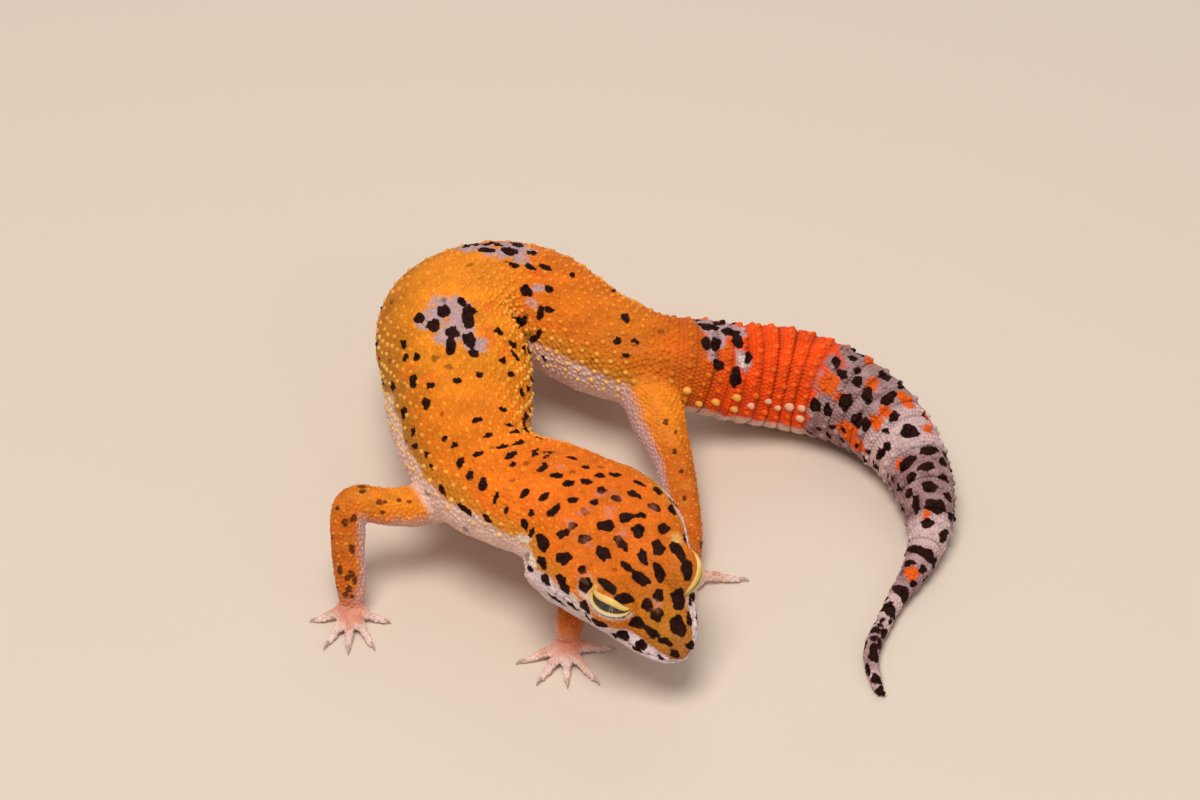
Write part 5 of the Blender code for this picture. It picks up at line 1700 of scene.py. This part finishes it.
def granules_group():
    """Heights of close-set rounded grains of the given size, for a bump."""
    tree, given, result = new_group(
        "granules", [("Scale", "NodeSocketFloat", 2400.0)], [("Height", "NodeSocketFloat")],
    )
    place = wired(tree, "ShaderNodeTexCoord").outputs["Object"]
    cells = wired(tree, "ShaderNodeTexVoronoi", {"Vector": place, "Scale": given["Scale"]})
    dome = math_node(tree, "POWER", cells.outputs["Distance"], 2.0)
    tree.links.new(math_node(tree, "SUBTRACT", 1.0, dome), result["Height"])
    return tree


def bsdf_material(name, roughness):
    """A material with its tree and its Principled shader."""
    made = bpy.data.materials.new(name)
    made.use_nodes = True
    shader = made.node_tree.nodes["Principled BSDF"]
    shader.inputs["Roughness"].default_value = roughness
    return made, made.node_tree, shader


def marked_material(name, roughness, bump_height, grain=0.16):
    """A material that shows the markings, over granules of the given height in metres."""
    made, tree, shader = bsdf_material(name, roughness)
    colours = wired(tree, "ShaderNodeGroup", node_tree=MARKINGS)
    colours.inputs["Grain"].default_value = grain
    tree.links.new(colours.outputs["Color"], shader.inputs["Base Color"])
    if bump_height:
        grains = wired(tree, "ShaderNodeGroup", node_tree=GRANULES)
        raised = wired(
            tree, "ShaderNodeBump",
            {"Height": grains.outputs["Height"], "Distance": bump_height, "Strength": 1.0},
        )
        tree.links.new(raised.outputs["Normal"], shader.inputs["Normal"])
    shine = ramp(tree, colours.outputs["Spot"], (0.0, 1.0), (SKIN_SHINE, SPOT_SHINE))
    tree.links.new(shine, shader.inputs["Specular IOR Level"])
    return made


def eye_material():
    """A dark brown eye with a pale thin line down each side of its slit, under a wet coat."""
    made, tree, shader = bsdf_material("eye", 0.25)
    slit = carried(tree, "slit")
    iris = wired(tree, "ShaderNodeValToRGB", {"Fac": noise(tree, 2600.0, 4.0)})
    stops = zip(iris.color_ramp.elements, ((0.35, IRIS_DARK), (0.7, IRIS_LIGHT)))
    for stop, (position, colour) in stops:
        stop.position, stop.color = position, colour
    line = ramp(tree, slit, (0.03, 0.17), (1.0, 0.0), "SMOOTHSTEP")
    pale = blend(tree, line, iris.outputs["Color"], SLIT_LINE)
    pupil = blend(tree, ramp(tree, slit, (-0.02, 0.04), (1.0, 0.0)), pale, PUPIL)
    rimmed = blend(tree, ramp(tree, carried(tree, "iris"), (2.6, 3.6)), pupil, EYE_RIM)
    tree.links.new(rimmed, shader.inputs["Base Color"])
    shader.inputs["Coat Weight"].default_value = 1.0
    shader.inputs["Coat Roughness"].default_value = 0.03
    return made


def claw_material():
    """Horn, pinkish at the root and darker towards the tip."""
    made, tree, shader = bsdf_material("claw", 0.35)
    place = wired(tree, "ShaderNodeTexCoord").outputs["Object"]
    split = wired(tree, "ShaderNodeSeparateXYZ", {"Vector": place})
    height = ramp(tree, split.outputs["Z"], (0.0, 0.001))
    tree.links.new(blend(tree, height, CLAW_TIP, CLAW_ROOT), shader.inputs["Base Color"])
    return made


def plain_material(name, colour, roughness):
    """One even colour."""
    made, _, shader = bsdf_material(name, roughness)
    shader.inputs["Base Color"].default_value = (*colour, 1)
    return made


MARKINGS, GRANULES = markings_group(), granules_group()


# ============================================================================== the animal
def skin_colours(points, normals):
    """The markings of the skin itself, with painted shade inside its openings: the eye sockets, the ears
    and the nostrils.
    """
    ground, spot, strength = markings(points, normals)
    for side in (1, -1):
        middle, axes = eye_frame(side)
        inside = np.linalg.norm(points - middle, axis=1) < EYE_RADIUS + 0.05
        ground = mixed(ground, SOCKET_SHADE, inside.astype(float))
        for place, half in ((EAR_AT, EAR_HALF[1]), (NOSTRIL_AT, NOSTRIL_RADIUS)):
            away = np.linalg.norm(points - head_place(place[0], side * place[1], place[2]), axis=1)
            ground = mixed(ground, PIT_SHADE, bump(away, half * 0.75))
    return ground, spot, strength


skin = skin_object()
paint(skin, *skin_colours(read_points(skin.data), read_points(skin.data, True)))

# Each coat of scales: its name, their spacing and height, the distances along the spine it
# lies between, and whether it is the limbs' own.
COATS = (
    ("scales_head", 0.60, 0.075, 0, 33.5, False),
    ("scales_front", 0.74, 0.12, 33.5, 70, False),
    ("scales_rear", 0.74, 0.12, 70, 115, False),
    ("scales_tail", 0.64, 0.11, 115, TOTAL_LENGTH + 1, False),
    ("scales_limbs", 0.60, 0.09, 0, TOTAL_LENGTH + 1, True),
)
coats = [grain_coat(skin, *coat, seed) for seed, coat in enumerate(COATS, 1)]
cones = [body_tubercles(skin), limb_tubercles(skin)]
lips = lip_plates(skin)
lids = lids_object()
left_eye, right_eye = eyeball(1, "eyeball_left"), eyeball(-1, "eyeball_right")
claws = claws_object()

skin.data.materials.clear()
skin.data.materials.append(marked_material("skin", 0.5, 0.00005))
scale_look = marked_material("scales", 0.42, 0)
cone_look = marked_material("tubercles", 0.42, 0, 0.12)
for coat in coats + [lips]:
    coat.data.materials.append(scale_look)
for coat in cones:
    coat.data.materials.append(cone_look)
lids.data.materials.append(marked_material("eyelids", 0.38, 0.00002, 0.08))
eye_look = eye_material()
left_eye.data.materials.append(eye_look)
right_eye.data.materials.append(eye_look)
claws.data.materials.append(claw_material())
under_skin = plain_material("under_skin", UNDER_SKIN, 0.5)
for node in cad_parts.values():
    node.data.materials.clear()
    node.data.materials.append(under_skin)

FLESH = (
    "head", "neck", "trunk_front", "trunk_middle", "trunk_rear", "tail_base", "tail_middle",
    "tail_end", "tail_tip", "upper_arm_right", "forearm_right", "hand_right", "upper_arm_left",
    "forearm_left", "hand_left", "thigh_left", "shin_left", "foot_left", "thigh_right",
    "shin_right", "foot_right",
)
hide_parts(*FLESH)
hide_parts("eye_left")
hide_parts("eye_right")
for piece in (skin, *coats, *cones, lips, lids, left_eye, right_eye, claws):
    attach(piece, "root")

# =============================================================================== the studio
corners = 1500.0 * np.array([[-1, -1, 0], [1, -1, 0], [1, 1, 0], [-1, 1, 0]])
floor = add_mesh("floor", corners, [[0, 1, 2, 3]])
floor.data.materials.append(plain_material("pale_floor", (0.76, 0.64, 0.53), 0.7))


def area_light(name, place, size, watts, colour):
    """A square soft light at a place in metres, turned to the origin."""
    lamp = bpy.data.lights.new(name, "AREA")
    lamp.size = size
    lamp.energy = watts
    lamp.color = colour
    made = bpy.data.objects.new(name, lamp)
    bpy.context.scene.collection.objects.link(made)
    made.location = place
    made.rotation_euler = (-mathutils.Vector(place)).to_track_quat("-Z", "Y").to_euler()


area_light("key", (-0.10, -0.22, 0.82), 0.42, 5.3, (1.0, 0.97, 0.93))
area_light("fill", (0.6, -0.5, 0.5), 0.6, 0.7, (0.95, 0.97, 1.0))
area_light("rim", (0.1, 0.7, 0.6), 0.5, 0.8, (1.0, 0.98, 0.95))
world = bpy.data.worlds.new("studio")
world.use_nodes = True
backdrop = world.node_tree.nodes["Background"].inputs
backdrop["Color"].default_value = (1.0, 0.98, 0.95, 1)
backdrop["Strength"].default_value = 0.30
bpy.context.scene.world = world
bpy.context.scene.view_settings.view_transform = "Standard"

AIM = np.array([-CENTRE[0], -CENTRE[1], 0.0]) * MM     # over the drawing's own origin
PITCH = math.radians(40)
VIEW_DISTANCE = 0.552
camera = bpy.data.cameras.new("camera")
camera.lens, camera.sensor_width = 108, 36
camera.clip_start, camera.clip_end = 0.01, 20
camera.dof.use_dof = False
view = bpy.data.objects.new("camera", camera)
bpy.context.scene.collection.objects.link(view)
view.location = AIM + VIEW_DISTANCE * np.array([0, -math.cos(PITCH), math.sin(PITCH)])
view.rotation_euler = (math.pi / 2 - PITCH, 0, 0)
bpy.context.scene.camera = view
